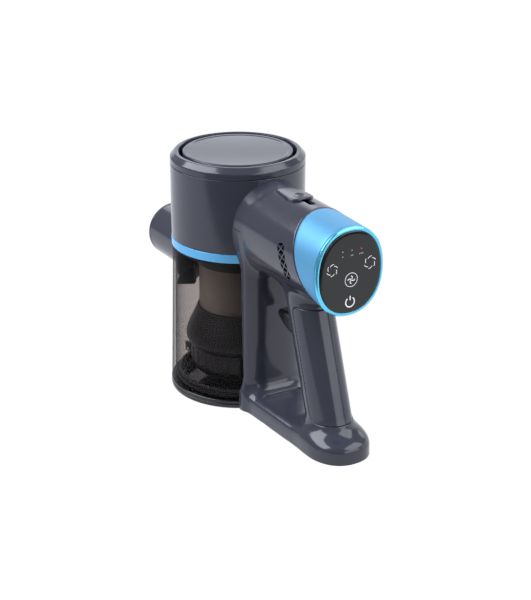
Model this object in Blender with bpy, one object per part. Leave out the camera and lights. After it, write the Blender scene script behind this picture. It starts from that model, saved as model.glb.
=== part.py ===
"""Cordless handheld vacuum with a clear dust cup, an oval control barrel and a closed handle loop.

Frame: +Z up, the dust cup's axis is X = Y = 0, and z = 0 is the flat underside of the cup's lid,
which is level with the underside of the base bar. The nozzle points along -X and the touch panel
faces +X. Lengths are in metres.
"""
import math

import bmesh
import bpy
from mathutils import Matrix, Vector

MM = 0.001
GAP = 0.3 * MM                 # clearance between neighbouring pieces
SIDES = 48                     # facets of the large round pieces
INNER_SIDES = 32               # facets of the round pieces inside
FINE_SIDES = 20                # facets of the small round pieces

# Motor housing, band and top cover
HOUSING_R = 60 * MM
HOUSING_WALL = 3 * MM
BAND_Z = (138.6 * MM, 146.4 * MM)
COVER_SEAM_Z = 213.6 * MM
TOP_Z = 224 * MM
RING_INNER_R = 52.3 * MM
DISC_R = 48.8 * MM
DISC_LOW_Z = 219 * MM

# Dust cup
CUP_R = 59 * MM
CUP_WALL = 2.4 * MM
LID_R = 63 * MM
LID_TOP_Z = 7.7 * MM
UPSTAND_R = 53.5 * MM
MESH_R = 36 * MM
MESH_Z = (66.5 * MM, 117.7 * MM)
SKIRT_R = 48.6 * MM
NECK_R = 43.5 * MM

# Nozzle, along -X
NOZZLE_Z = 110.5 * MM
NOZZLE_R = 26.1 * MM
NOZZLE_BORE_R = 22 * MM
NOZZLE_END_X = -128.4 * MM
SADDLE_FACE_X = -75 * MM
SADDLE_HALF = (38 * MM, 22 * MM)
SADDLE_Z = 111.5 * MM
INLET_Z = 114 * MM
INLET_HOLE_R = 15 * MM
DUCT_Z = (96.5 * MM, 131.5 * MM)
DUCT_R = 38.5 * MM

# Barrel: an oval tube from the housing to the oblique back edge of the blue sleeve
BARREL_ROOT = (33.4 * MM, 38.9 * MM, 171.5 * MM, 2.5)     # half width, half height, centre z, exponent
BARREL_END = (34.5 * MM, 38.0 * MM, 170.0 * MM, 2.0)
FRONT = (32.8 * MM, 38.0 * MM, 167.5 * MM, 2.0)
BARREL_WALL = 2.6 * MM
SLEEVE_EDGE_X = 151 * MM       # where the oblique edge crosses the barrel's mid height
SLEEVE_SLOPE = -0.48           # its change in x for each metre of height
FRONT_X = 178.5 * MM
BEZEL_DEPTH = 2.6 * MM
PANEL_HALF = (29.2 * MM, 35.0 * MM)

CELL_R, CELL_LENGTH = 9.1 * MM, 65 * MM
BATTERY_X, BATTERY_Z = 70 * MM, 168 * MM       # rear end of the cells, and the middle row's height

VENT_CELLS = 4                 # crossed cells of each vent strip, from the top one's centre (x, z)
VENT_START = (126.6 * MM, 177.7 * MM)
VENT_PITCH = 6.7 * MM
VENT_OPEN = 0.66               # share of each triangle that is open

# Handle loop
STRUT_HALF = 28.4 * MM
STRUT_REAR_X = 66 * MM
STRUT_TOP_Z = 165 * MM         # inside the barrel, whose form is cut away from it
BAR_HALF = 29.5 * MM
FOOT_HALF = 26.6 * MM
BAR_END_X = 193 * MM
BAR_ROUND = 33 * MM            # length of the rounded end
FOOT_EXPONENT = 2.3
BAR_START_X = 50 * MM
BAR_TOP_Z = 17.4 * MM
COVER_START_X = 70 * MM
LID_CLEAR_R = LID_R + 0.6 * MM
GRIP_TOP = Vector((111.5, 0, 146)) * MM
GRIP_FOOT = Vector((154.8, 0, 17.7)) * MM
GRIP_HALF = (22.3 * MM, 18.8 * MM)
GRIP_WALL = 2.5 * MM
GRIP_STEPS = 20                # facets of half the grip's oval
GRIP_TOP_Z = 150 * MM          # inside the barrel, whose form is cut away from it
COVER_Z = (29 * MM, 119 * MM)  # lower and upper edge of the grip's rear cover

SCREW_PLACES = [(80 * MM, -18 * MM), (80 * MM, 18 * MM), (170 * MM, -18 * MM), (170 * MM, 18 * MM)]

SOCKET_X, SOCKET_Z = 140 * MM, 7.6 * MM
SOCKET_R, SOCKET_BORE_R = 4.8 * MM, 3.3 * MM
SOCKET_FACE_Y = 26.8 * MM

# Moving pieces
SLIDER_X = (74.5 * MM, 112.5 * MM)
SLIDER_TOP_Z = 210.9 * MM
TRIGGER_Z = 95 * MM
TRIGGER_TIP_X = 75 * MM
HINGE_AZIMUTH = math.radians(188)
LATCH_AZIMUTH = math.radians(46)
HINGE_R, HINGE_Z = 66.4 * MM, 10.6 * MM
KNUCKLE_R = 3.2 * MM
LATCH_R, LATCH_Z = 65.2 * MM, 17 * MM

# Colours, roughness and metallic value of each finish
FINISHES = {
    "slate_gloss": ((0.085, 0.09, 0.115), 0.28, 0.0),
    "slate_dark": ((0.04, 0.042, 0.05), 0.35, 0.0),
    "black_gloss": ((0.012, 0.012, 0.014), 0.12, 0.0),
    "black_matt": ((0.02, 0.02, 0.022), 0.6, 0.0),
    "blue_metal": ((0.13, 0.42, 0.68), 0.3, 0.9),
    "smoke_clear": ((0.10, 0.09, 0.085), 0.1, 0.0),
    "mesh_metal": ((0.22, 0.18, 0.15), 0.45, 0.8),
    "steel": ((0.62, 0.62, 0.64), 0.3, 1.0),
    "copper": ((0.55, 0.25, 0.12), 0.35, 1.0),
    "board_green": ((0.03, 0.14, 0.07), 0.5, 0.0),
    "rubber": ((0.02, 0.02, 0.02), 0.85, 0.0),
    "filter_paper": ((0.75, 0.75, 0.72), 0.9, 0.0),
    "cell_wrap": ((0.10, 0.25, 0.5), 0.4, 0.0),
}


# ---------------------------------------------------------------- mesh helpers

def remove_everything():
    for obj in list(bpy.data.objects):
        bpy.data.objects.remove(obj, do_unlink=True)


def finish_material(finish):
    found = bpy.data.materials.get(finish)
    if found:
        return found
    colour, roughness, metallic = FINISHES[finish]
    made = bpy.data.materials.new(finish)
    made.use_nodes = True
    shader = made.node_tree.nodes["Principled BSDF"]
    shader.inputs["Base Color"].default_value = (*colour, 1)
    shader.inputs["Roughness"].default_value = roughness
    shader.inputs["Metallic"].default_value = metallic
    if finish == "smoke_clear":
        shader.inputs["Alpha"].default_value = 0.4
    return made


def add_object(name, bm, finish, origin=(0, 0, 0)):
    """Turns a bmesh in world coordinates into an object whose origin is at the given point."""
    bmesh.ops.remove_doubles(bm, verts=bm.verts, dist=0.001 * MM)
    bmesh.ops.recalc_face_normals(bm, faces=bm.faces)
    bm.transform(Matrix.Translation(-Vector(origin)))
    mesh = bpy.data.meshes.new(name)
    bm.to_mesh(mesh)
    bm.free()
    mesh.materials.append(finish_material(finish))
    mesh.shade_smooth()
    mesh.set_sharp_from_angle(angle=math.radians(35))
    obj = bpy.data.objects.new(name, mesh)
    obj.location = origin
    bpy.context.scene.collection.objects.link(obj)
    return obj


def cut(obj, cutter_bm, label):
    """Subtracts a closed bmesh from an object with a Boolean modifier."""
    cutter = add_object(f"cutter_{obj.name}_{label}", cutter_bm, "black_matt")
    cutter.hide_render = True
    cutter.display_type = "WIRE"
    boolean = obj.modifiers.new(label, "BOOLEAN")
    boolean.operation = "DIFFERENCE"
    boolean.solver = "EXACT"
    boolean.object = cutter


def fuse(obj, tool_bm, label):
    """Adds a closed bmesh to an object with a Boolean modifier."""
    cut(obj, tool_bm, label)
    obj.modifiers[label].operation = "UNION"


def skin(rings, wrap=False):
    """Joins rings of points, capping both ends, or closing the loop of rings when wrap is set."""
    bm = bmesh.new()
    loops = [[bm.verts.new(point) for point in ring] for ring in rings]
    pairs = list(zip(loops, loops[1:]))
    if wrap:
        pairs.append((loops[-1], loops[0]))
    else:
        bm.faces.new(loops[0])
        bm.faces.new(loops[-1])
    for first, second in pairs:
        count = len(first)
        for k in range(count):
            bm.faces.new((first[k], first[(k + 1) % count], second[(k + 1) % count], second[k]))
    return bm


def turned(profile, sides=SIDES):
    """Turns a closed (radius, z) outline about the Z axis; points on the axis become poles."""
    bm = bmesh.new()
    rings = []
    for radius, z in profile:
        count = 1 if radius < 0.01 * MM else sides
        turns = [math.tau * k / sides for k in range(count)]
        rings.append([bm.verts.new((radius * math.cos(a), radius * math.sin(a), z)) for a in turns])
    for first, second in zip(rings, rings[1:] + rings[:1]):
        if len(first) == 1 and len(second) == 1:
            continue
        for k in range(sides):
            after = (k + 1) % sides
            corners = [first[k % len(first)], first[after % len(first)],
                       second[after % len(second)], second[k % len(second)]]
            bm.faces.new(dict.fromkeys(corners))
    return bm


def ring_between(inner_r, outer_r, low_z, high_z, sides=SIDES):
    return turned([(inner_r, low_z), (outer_r, low_z), (outer_r, high_z), (inner_r, high_z)], sides)


def disc(radius, low_z, high_z, sides=SIDES):
    return turned([(0, low_z), (radius, low_z), (radius, high_z), (0, high_z)], sides)


def along(bm, start, direction):
    """Moves a bmesh made about +Z so that it starts at a point and runs along a direction."""
    turn = Vector((0, 0, 1)).rotation_difference(Vector(direction).normalized())
    bm.transform(Matrix.Translation(Vector(start)) @ turn.to_matrix().to_4x4())
    return bm


def prism(outline, low_z, high_z):
    return skin([[(x, y, z) for x, y in outline] for z in (low_z, high_z)])


def box(low, high):
    (x0, y0, z0), (x1, y1, z1) = low, high
    return prism([(x0, y0), (x1, y0), (x1, y1), (x0, y1)], z0, z1)


def merged(*parts):
    """One bmesh that holds several closed bodies, for a cutter with more than one tool."""
    joined = bmesh.new()
    for part in parts:
        mesh = bpy.data.meshes.new("joined")
        part.to_mesh(mesh)
        part.free()
        joined.from_mesh(mesh)
        bpy.data.meshes.remove(mesh)
    return joined


def turned_by(bm, azimuth):
    """Turns a bmesh made on the +X side about the cup's axis."""
    bm.transform(Matrix.Rotation(azimuth, 4, "Z"))
    return bm


def oval_point(angle, half_width, half_height, centre_z, lower_exponent):
    """A point (y, z) on an oval whose lower half may be squarer than its upper half."""
    c, s = math.cos(angle), math.sin(angle)
    exponent = 2.0 if s >= 0 else lower_exponent
    y = half_width * math.copysign(abs(c) ** (2 / exponent), c)
    z = centre_z + half_height * math.copysign(abs(s) ** (2 / exponent), s)
    return y, z


# ---------------------------------------------------------------- housing, motor and top cover

def build_housing():
    inner = HOUSING_R - HOUSING_WALL
    low, high = BAND_Z[1] + GAP, COVER_SEAM_Z - GAP
    add_object("motor_housing", turned([
        (22 * MM, low), (HOUSING_R, low), (HOUSING_R, high), (inner, high),
        (inner, low + 3 * MM), (22 * MM, low + 3 * MM)]), "slate_gloss")
    add_object("blue_band", ring_between(55.5 * MM, HOUSING_R + 0.1 * MM, *BAND_Z), "blue_metal")


def build_top_cover():
    """Bevelled cap ring, and the disc with its exhaust filter that lifts out of it."""
    seam = COVER_SEAM_Z
    add_object("cap_ring", turned([
        (RING_INNER_R, seam), (HOUSING_R, seam), (HOUSING_R, seam + 5.4 * MM),
        (55.5 * MM, TOP_Z - 0.2 * MM), (54 * MM, TOP_Z), (RING_INNER_R, TOP_Z - 0.6 * MM)]), "slate_gloss")
    add_object("top_disc", turned([
        (0, DISC_LOW_Z), (DISC_R, DISC_LOW_Z), (DISC_R, 222.4 * MM), (DISC_R - 1.6 * MM, 223.8 * MM),
        (DISC_R - 3.4 * MM, 223.8 * MM), (DISC_R - 7 * MM, 222 * MM), (0, 222 * MM)]), "slate_gloss")
    add_object("exhaust_filter", ring_between(20 * MM, 47 * MM, 206 * MM, DISC_LOW_Z - GAP, INNER_SIDES),
               "filter_paper")


def build_motor():
    """Vertical motor under the exhaust filter, with its impeller below the stator."""
    shaft_r = 2.5 * MM
    mount_z = BAND_Z[1] + GAP + 3 * MM + GAP
    add_object("motor_mount", ring_between(34.5 * MM, 56 * MM, mount_z, mount_z + 6 * MM, INNER_SIDES), "rubber")
    add_object("motor_can", turned([
        (9 * MM, 170 * MM), (31 * MM, 170 * MM), (31 * MM, 164 * MM), (34 * MM, mount_z),
        (34 * MM, mount_z + 6 * MM), (33 * MM, 200 * MM), (9 * MM, 200 * MM), (9 * MM, 198 * MM),
        (31 * MM, 198 * MM), (31 * MM, 172 * MM), (9 * MM, 172 * MM)], INNER_SIDES), "steel")
    add_object("stator", ring_between(14.5 * MM, 30.7 * MM, 175 * MM, 193 * MM, INNER_SIDES), "copper")
    for name, low_z in (("bearing_bottom", 170.2 * MM), ("bearing_top", 196.2 * MM)):
        add_object(name, ring_between(shaft_r + 0.3 * MM, 8.7 * MM, low_z, low_z + 3.6 * MM, FINE_SIDES), "steel")
    add_object("motor_board", ring_between(6 * MM, 30 * MM, 200.6 * MM, 202.2 * MM, INNER_SIDES), "board_green")
    add_object("motor_shaft", disc(shaft_r, 154 * MM, 204.5 * MM, FINE_SIDES), "steel",
               (0, 0, 154 * MM))
    add_object("rotor_magnet", ring_between(shaft_r + 0.3 * MM, 13.8 * MM, 176 * MM, 192 * MM, FINE_SIDES),
               "slate_dark", (0, 0, 176 * MM))
    add_object("impeller", turned([
        (shaft_r + 0.3 * MM, 156 * MM), (8 * MM, 156 * MM), (12 * MM, 161 * MM), (27 * MM, 164 * MM),
        (27 * MM, 167.5 * MM), (shaft_r + 0.3 * MM, 167.5 * MM)], FINE_SIDES), "steel", (0, 0, 156 * MM))


# ---------------------------------------------------------------- dust cup

def build_cup():
    inner = CUP_R - CUP_WALL
    wall = add_object("cup_wall", ring_between(
        inner, CUP_R, LID_TOP_Z + 2 * GAP, BAND_Z[0] - GAP), "smoke_clear")
    cut(wall, along(disc(INLET_HOLE_R, 0, 12 * MM, FINE_SIDES), (-51 * MM, 0, INLET_Z), (-1, 0, 0)), "inlet")


def build_nozzle():
    """Round nozzle pipe on a block that is curved to the cup's wall."""
    pipe = ring_between(NOZZLE_BORE_R, NOZZLE_R, 0, SADDLE_FACE_X - NOZZLE_END_X - GAP, INNER_SIDES)
    add_object("nozzle_pipe", along(pipe, (SADDLE_FACE_X - GAP, 0, NOZZLE_Z), (-1, 0, 0)), "slate_gloss")
    half_y, half_z = SADDLE_HALF
    corner = 9 * MM
    outline = []
    for k in range(24):
        angle = math.tau * (k + 0.5) / 24
        side_y = math.copysign(half_y - corner, math.cos(angle))
        side_z = math.copysign(half_z - corner, math.sin(angle))
        outline.append((side_y + corner * math.cos(angle), SADDLE_Z + side_z + corner * math.sin(angle)))
    block = skin([[(x, y, z) for y, z in outline] for x in (-38 * MM, SADDLE_FACE_X)])
    saddle = add_object("nozzle_saddle", block, "slate_gloss")
    cut(saddle, disc(CUP_R + GAP, 80 * MM, 150 * MM), "cup")
    cut(saddle, along(disc(INLET_HOLE_R, 0, 50 * MM, FINE_SIDES), (-30 * MM, 0, INLET_Z), (-1, 0, 0)), "bore")


def build_duct():
    """Channel inside the cup that turns the air along the wall."""
    low, high = DUCT_Z
    outer = CUP_R - CUP_WALL - GAP
    wall = 2 * MM
    section = [(outer, low), (outer, low + wall), (DUCT_R + wall, low + wall),
               (DUCT_R + wall, high - wall), (outer, high - wall), (outer, high), (DUCT_R, high), (DUCT_R, low)]
    rings = []
    for k in range(19):
        angle = math.radians(152 + 90 * k / 18)
        rings.append([(r * math.cos(angle), r * math.sin(angle), z) for r, z in section])
    add_object("inlet_duct", skin(rings), "slate_dark")


def build_cyclone():
    top = BAND_Z[0] - GAP
    inner = CUP_R - CUP_WALL - GAP
    add_object("filter_collar", turned([
        (30 * MM, 133 * MM), (36.5 * MM, 118 * MM), (38 * MM, 118 * MM), (38 * MM, 134.5 * MM),
        (inner, 134.5 * MM), (inner, top), (30 * MM, top)], INNER_SIDES), "slate_dark")
    add_object("mesh_filter", ring_between(MESH_R - 1.4 * MM, MESH_R, *MESH_Z, INNER_SIDES), "mesh_metal")
    add_object("cyclone_skirt", turned([
        (20 * MM, 66 * MM), (MESH_R + 0.6 * MM, 66 * MM), (40 * MM, 60.5 * MM), (46.5 * MM, 54.5 * MM),
        (SKIRT_R, 51 * MM), (SKIRT_R, 47 * MM), (46 * MM, 43 * MM), (NECK_R, 41 * MM), (NECK_R, 24 * MM),
        (NECK_R - 4 * MM, 17 * MM), (NECK_R - 6 * MM, 17 * MM), (NECK_R - 6 * MM, 40 * MM),
        (20 * MM, 60 * MM)], INNER_SIDES), "slate_dark")


def build_lid():
    """Bottom lid with its wide rim, and the upstand that carries the seal."""
    lid = add_object("cup_lid", turned([
        (0, 0), (LID_R - 1 * MM, 0), (LID_R, 1 * MM), (LID_R, LID_TOP_Z - 1.2 * MM),
        (LID_R - 1.2 * MM, LID_TOP_Z), (UPSTAND_R, LID_TOP_Z), (UPSTAND_R, 13 * MM),
        (UPSTAND_R - 2.5 * MM, 13 * MM), (UPSTAND_R - 2.5 * MM, 4 * MM), (0, 4 * MM)]),
        "black_gloss", hinge_point(HINGE_R, HINGE_AZIMUTH, HINGE_Z))
    round_top = [(HINGE_R + KNUCKLE_R * math.cos(a), HINGE_Z + KNUCKLE_R * math.sin(a))
                 for a in (math.pi * k / 8 for k in range(9))]
    side = [(58 * MM, 2 * MM), (HINGE_R + KNUCKLE_R, 2 * MM)] + round_top + [
        (HINGE_R - KNUCKLE_R, 6.8 * MM), (58 * MM, 6.2 * MM)]
    knuckle = skin([[(x, y, z) for x, z in side] for y in (-7 * MM, 7 * MM)])
    fuse(lid, turned_by(knuckle, HINGE_AZIMUTH), "knuckle")
    pin_hole = along(disc(1.6 * MM + GAP, -9 * MM, 9 * MM, FINE_SIDES), (HINGE_R, 0, HINGE_Z), (0, 1, 0))
    cut(lid, turned_by(pin_hole, HINGE_AZIMUTH), "pin_hole")
    seal = ring_between(UPSTAND_R + GAP, CUP_R - CUP_WALL - 0.4 * MM, 8.4 * MM, 12 * MM, INNER_SIDES)
    add_object("lid_seal", seal, "rubber", hinge_point(HINGE_R, HINGE_AZIMUTH, HINGE_Z))


def hinge_point(radius, azimuth, z):
    return Vector((radius * math.cos(azimuth), radius * math.sin(azimuth), z))


def bracket(name, radius, pin_z, azimuth, ear_inner, half_width, back_z, finish):
    """Two ears on a plate that is curved to the cup, made at azimuth 0 and turned into place."""
    block = box((CUP_R - 3 * MM, -half_width, back_z[0]), (radius + 3.4 * MM, half_width, back_z[1]))
    made = add_object(name, turned_by(block, azimuth), finish)
    pocket = box((CUP_R + 2.6 * MM, -ear_inner, back_z[0] - 5 * MM),
                 (radius + 9 * MM, ear_inner, back_z[1] + 5 * MM))
    hole = along(disc(1.6 * MM + GAP, -half_width - 2 * MM, half_width + 2 * MM, FINE_SIDES),
                 (radius, 0, pin_z), (0, 1, 0))
    cut(made, disc(CUP_R + GAP, 0, 60 * MM), "cup")
    cut(made, turned_by(pocket, azimuth), "pocket")
    cut(made, turned_by(hole, azimuth), "hole")


def hinge_rod(name, radius, pin_z, azimuth, half_width, origin=(0, 0, 0)):
    rod = along(disc(1.6 * MM, -half_width, half_width, FINE_SIDES), (radius, 0, pin_z), (0, 1, 0))
    add_object(name, turned_by(rod, azimuth), "steel", origin)


def build_lid_fittings():
    bracket("hinge_bracket", HINGE_R, HINGE_Z, HINGE_AZIMUTH, 7.6 * MM, 11 * MM,
            (LID_TOP_Z + 2 * GAP, 17 * MM), "black_matt")
    hinge_rod("hinge_pin", HINGE_R, HINGE_Z, HINGE_AZIMUTH, 11 * MM)
    bracket("latch_bracket", LATCH_R, LATCH_Z, LATCH_AZIMUTH, 6.6 * MM, 9.5 * MM,
            (LID_TOP_Z + 2 * GAP, 24 * MM), "black_matt")
    hinge_rod("latch_pin", LATCH_R, LATCH_Z, LATCH_AZIMUTH, 9.5 * MM)
    lever_side = [(-1.8, -8.6), (1.9, -8.6), (3.1, -2), (3.1, 4), (4.6, 8.6), (2.2, 9.4), (-1.8, 4)]
    lever = skin([[(LATCH_R + x * MM, y, LATCH_Z + z * MM) for x, z in lever_side]
                  for y in (-6 * MM, 6 * MM)])
    pivot = hinge_point(LATCH_R, LATCH_AZIMUTH, LATCH_Z)
    latch = add_object("lid_latch", turned_by(lever, LATCH_AZIMUTH), "slate_gloss", pivot)
    hole = along(disc(1.6 * MM + 0.1 * MM, -8 * MM, 8 * MM, FINE_SIDES), (LATCH_R, 0, LATCH_Z), (0, 1, 0))
    cut(latch, turned_by(hole, LATCH_AZIMUTH), "hole")


# ---------------------------------------------------------------- barrel and controls

def tube_rings(start, end, inset, sides=SIDES):
    """The two end rings of the barrel or sleeve; start and end give (x rule, oval)."""
    rings = []
    for rule, oval in (start, end):
        half_width, half_height, centre_z, exponent = oval
        ring = []
        for k in range(sides):
            y, z = oval_point(math.tau * k / sides, half_width - inset, half_height - inset, centre_z, exponent)
            ring.append((rule(y, z), y, z))
        rings.append(ring)
    return rings


def tube(start, end, wall):
    outer = tube_rings(start, end, 0)
    inner = tube_rings(start, end, wall)
    return skin(outer + inner[::-1], wrap=True)


def on_housing(y, z):
    """The x of a point that touches the housing's cylinder."""
    return math.sqrt((HOUSING_R + GAP) ** 2 - y * y)


def on_sleeve_edge(y, z):
    return SLEEVE_EDGE_X + SLEEVE_SLOPE * (z - BARREL_END[2])


def behind_sleeve(y, z):
    return on_sleeve_edge(y, z) + GAP


def at_bezel(y, z):
    return FRONT_X - BEZEL_DEPTH - GAP


def vent_cutters():
    """Triangles between the crossed bars of the vent strips, on both sides of the barrel."""
    across = Vector((9, 2.9)) * MM
    up = Vector((-0.43, 1)) * VENT_PITCH / 2
    tools = []
    for cell in range(VENT_CELLS):
        centre = Vector(VENT_START) - 2 * up * cell
        corners = [centre + across + up, centre - across + up, centre - across - up, centre + across - up]
        for first, second in zip(corners, corners[1:] + corners[:1]):
            middle = (centre + first + second) / 3
            shape = [middle + (p - middle) * VENT_OPEN for p in (centre, first, second)]
            rings = [[(p.x, y, p.y) for p in shape] for y in (-40 * MM, 40 * MM)]
            tools.append(skin(rings))
    return merged(*tools)


def build_barrel():
    shell = tube((on_housing, BARREL_ROOT), (on_sleeve_edge, BARREL_END), BARREL_WALL)
    barrel = add_object("barrel_shell", shell, "slate_gloss")
    slot = box((84 * MM, -3.2 * MM, 195 * MM), (124 * MM, 3.2 * MM, 220 * MM))
    cut(barrel, slot, "slider_slot")
    cut(barrel, vent_cutters(), "vents")
    add_object("control_sleeve", tube((behind_sleeve, BARREL_END), (at_bezel, FRONT), 2.6 * MM), "blue_metal")


def oval_ring(x, half_width, half_height, centre_z, sides=SIDES):
    points = [oval_point(math.tau * k / sides, half_width, half_height, centre_z, 2.0) for k in range(sides)]
    return [(x, y, z) for y, z in points]


def build_front():
    half_width, half_height, centre_z, _ = FRONT
    back = FRONT_X - BEZEL_DEPTH
    bevel = 1.1 * MM
    add_object("bezel_ring", skin([
        oval_ring(back, half_width - 0.2 * MM, half_height - 0.2 * MM, centre_z),
        oval_ring(FRONT_X - bevel, half_width - 0.2 * MM, half_height - 0.2 * MM, centre_z),
        oval_ring(FRONT_X, half_width - 0.2 * MM - bevel, half_height - 0.2 * MM - bevel, centre_z),
        oval_ring(FRONT_X - 0.4 * MM, PANEL_HALF[0] + GAP, PANEL_HALF[1] + GAP, centre_z),
        oval_ring(back, PANEL_HALF[0] + GAP, PANEL_HALF[1] + GAP, centre_z)], wrap=True), "blue_metal")
    add_object("touch_panel", skin([
        oval_ring(back - 1 * MM, *PANEL_HALF, centre_z),
        oval_ring(FRONT_X + 0.4 * MM, *PANEL_HALF, centre_z),
        oval_ring(FRONT_X + 1 * MM, PANEL_HALF[0] - 0.7 * MM, PANEL_HALF[1] - 0.7 * MM, centre_z)]), "black_gloss")
    board_x = 165 * MM
    add_object("control_board", skin([
        oval_ring(board_x, 24 * MM, 29 * MM, centre_z), oval_ring(board_x + 1.6 * MM, 24 * MM, 29 * MM, centre_z)]),
        "board_green")


def build_battery():
    """Six cells along the barrel, in two columns, between two holder plates."""
    cell_r, cell_length, start_x = CELL_R, CELL_LENGTH, BATTERY_X
    pitch = 2 * cell_r + 0.4 * MM
    holder_half = (1.1 * pitch, 1.62 * pitch)
    for index in range(6):
        y = (index % 2 - 0.5) * pitch
        z = BATTERY_Z + (index // 2 - 1) * pitch
        cell = along(disc(cell_r, 0, cell_length, FINE_SIDES), (start_x, y, z), (1, 0, 0))
        add_object(f"battery_cell_{index + 1}", cell, "cell_wrap")
    places = {"cell_holder_rear": start_x - 2.5 * MM, "cell_holder_front": start_x + cell_length + GAP}
    for name, x in places.items():
        plate = skin([oval_ring(at, *holder_half, BATTERY_Z, INNER_SIDES) for at in (x, x + 2.2 * MM)])
        add_object(name, plate, "black_matt")


def build_slider():
    """Shield-shaped slider whose stem runs in the barrel's slot."""
    low_x, high_x = SLIDER_X
    half = 11 * MM
    tip = [(high_x - 6 * MM + 6 * MM * math.cos(a), half * math.sin(a))
           for a in (math.radians(d) for d in range(-75, 76, 15))]
    outline = [(low_x, 4 * MM), (low_x, -4 * MM), (low_x + 12 * MM, -half)] + tip + [(low_x + 12 * MM, half)]
    plate = prism(outline, 200 * MM, SLIDER_TOP_Z)
    slider = add_object("release_slider", plate, "slate_gloss", (low_x, 0, 209 * MM))
    clear = (on_housing, tuple(v + 0.5 * MM if i < 2 else v for i, v in enumerate(BARREL_ROOT)))
    end = (lambda y, z: 160 * MM, tuple(v + 0.5 * MM if i < 2 else v for i, v in enumerate(BARREL_END)))
    cut(slider, skin(tube_rings(clear, end, 0)), "barrel_top")
    stem = box((86 * MM, -2.6 * MM, 203 * MM), (106 * MM, 2.6 * MM, SLIDER_TOP_Z - 0.5 * MM))
    fuse(slider, stem, "stem")


# ---------------------------------------------------------------- handle loop

def build_strut():
    steps = 16
    reach = math.asin(STRUT_HALF / (HOUSING_R + GAP))
    inner = [((HOUSING_R + GAP) * math.cos(a), (HOUSING_R + GAP) * math.sin(a))
             for a in (reach * (2 * k / steps - 1) for k in range(steps + 1))]
    rear = [(59.4 * MM, STRUT_HALF), (STRUT_REAR_X - 3.5 * MM, STRUT_HALF - 3 * MM), (STRUT_REAR_X, 12 * MM),
            (STRUT_REAR_X, -12 * MM), (STRUT_REAR_X - 3.5 * MM, -STRUT_HALF + 3 * MM), (59.4 * MM, -STRUT_HALF)]
    strut = add_object("strut", prism(inner + rear, BAR_TOP_Z + GAP, STRUT_TOP_Z), "slate_gloss")
    cut(strut, barrel_core(GAP), "barrel")


def barrel_core(gap):
    """The barrel's outer form as a solid, grown by a gap, for cutting what meets it."""
    root = (BARREL_ROOT[0] + gap, BARREL_ROOT[1] + gap, *BARREL_ROOT[2:])
    end = (BARREL_END[0] + gap, BARREL_END[1] + gap, *BARREL_END[2:])
    return skin(tube_rings((lambda y, z: 30 * MM, root), (lambda y, z: 185 * MM, end), 0))


def bar_outline(inset):
    """Base outline with a squarish rounded foot, as (x, y) points."""
    half = FOOT_HALF - inset
    centre_x = BAR_END_X - BAR_ROUND
    steps = 18
    end = []
    for k in range(steps + 1):
        angle = math.pi * (k / steps - 0.5)
        x = centre_x + (BAR_ROUND - inset) * max(0.0, math.cos(angle)) ** (2 / FOOT_EXPONENT)
        y = half * math.copysign(abs(math.sin(angle)) ** (2 / FOOT_EXPONENT), math.sin(angle))
        end.append((x, y))
    return [(BAR_START_X, inset - BAR_HALF)] + end + [(BAR_START_X, BAR_HALF - inset)]


def cover_outline(inset, start_x):
    """The base outline cut short behind the strut."""
    outline = bar_outline(inset)
    half = BAR_HALF - inset - 0.6 * MM
    return [(start_x, -half)] + outline[1:-1] + [(start_x, half)]


def build_base():
    levels = [(0.8, 0), (0, 0.8), (0, 11.2), (1, 13), (3.6, 15.2), (8, 16.6), (14, 17.4)]
    rings = [[(x, y, z * MM) for x, y in bar_outline(inset * MM)] for inset, z in levels]
    bar = add_object("base_bar", skin(rings), "slate_gloss")
    cut(bar, disc(LID_CLEAR_R, -5 * MM, LID_TOP_Z + 3 * GAP), "lid")
    cut(bar, disc(HOUSING_R + GAP, -5 * MM, 30 * MM), "cup")
    wall = 3 * MM
    cavity = prism(cover_outline(wall, COVER_START_X), -5 * MM, 13 * MM)
    cut(bar, cavity, "cavity")
    socket_hole = along(disc(SOCKET_R + GAP, 0, 12 * MM, FINE_SIDES), (SOCKET_X, 22 * MM, SOCKET_Z), (0, 1, 0))
    cut(bar, socket_hole, "socket")
    cover = prism(cover_outline(wall + GAP, COVER_START_X + GAP), 0, 2.4 * MM)
    plate = add_object("base_cover", cover, "slate_dark")
    holes = []
    for number, (x, y) in enumerate(SCREW_PLACES, 1):
        holes.append(along(disc(1.8 * MM, -1 * MM, 4 * MM, 12), (x, y, 0), (0, 0, 1)))
        holes.append(along(disc(3.5 * MM, -1 * MM, 1.3 * MM, 12), (x, y, 0), (0, 0, 1)))
        head = turned([(0, 0.3 * MM), (3 * MM, 0.3 * MM), (3 * MM, 1.0 * MM), (1.5 * MM, 1.0 * MM),
                       (1.5 * MM, 9 * MM), (0, 9 * MM)], 12)
        add_object(f"base_screw_{number}", along(head, (x, y, 0), (0, 0, 1)), "steel")
    for index, hole in enumerate(holes):
        cut(plate, hole, f"hole_{index + 1}")


def grip_axis(z):
    """Centre x of the grip at a height."""
    t = (z - GRIP_TOP.z) / (GRIP_FOOT.z - GRIP_TOP.z)
    return GRIP_TOP.x + (GRIP_FOOT.x - GRIP_TOP.x) * t


def grip_section(z, front):
    """The front or rear half of the grip's oval wall at a height, as a C of points."""
    centre = grip_axis(z)
    half_x, half_y = GRIP_HALF
    start = 90 if front else -90
    outer, inner = [], []
    for k in range(GRIP_STEPS + 1):
        angle = math.radians(start + 180 * k / GRIP_STEPS)
        c, s = math.cos(angle), math.sin(angle)
        outer.append((centre + half_x * c, half_y * s, z))
        inner.append((centre + (half_x - GRIP_WALL) * c, (half_y - GRIP_WALL) * s, z))
    shift = -GAP / 2 if front else GAP / 2
    ring = outer + inner[::-1]
    return [(x + shift, y, z) for x, y, z in ring]


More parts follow.
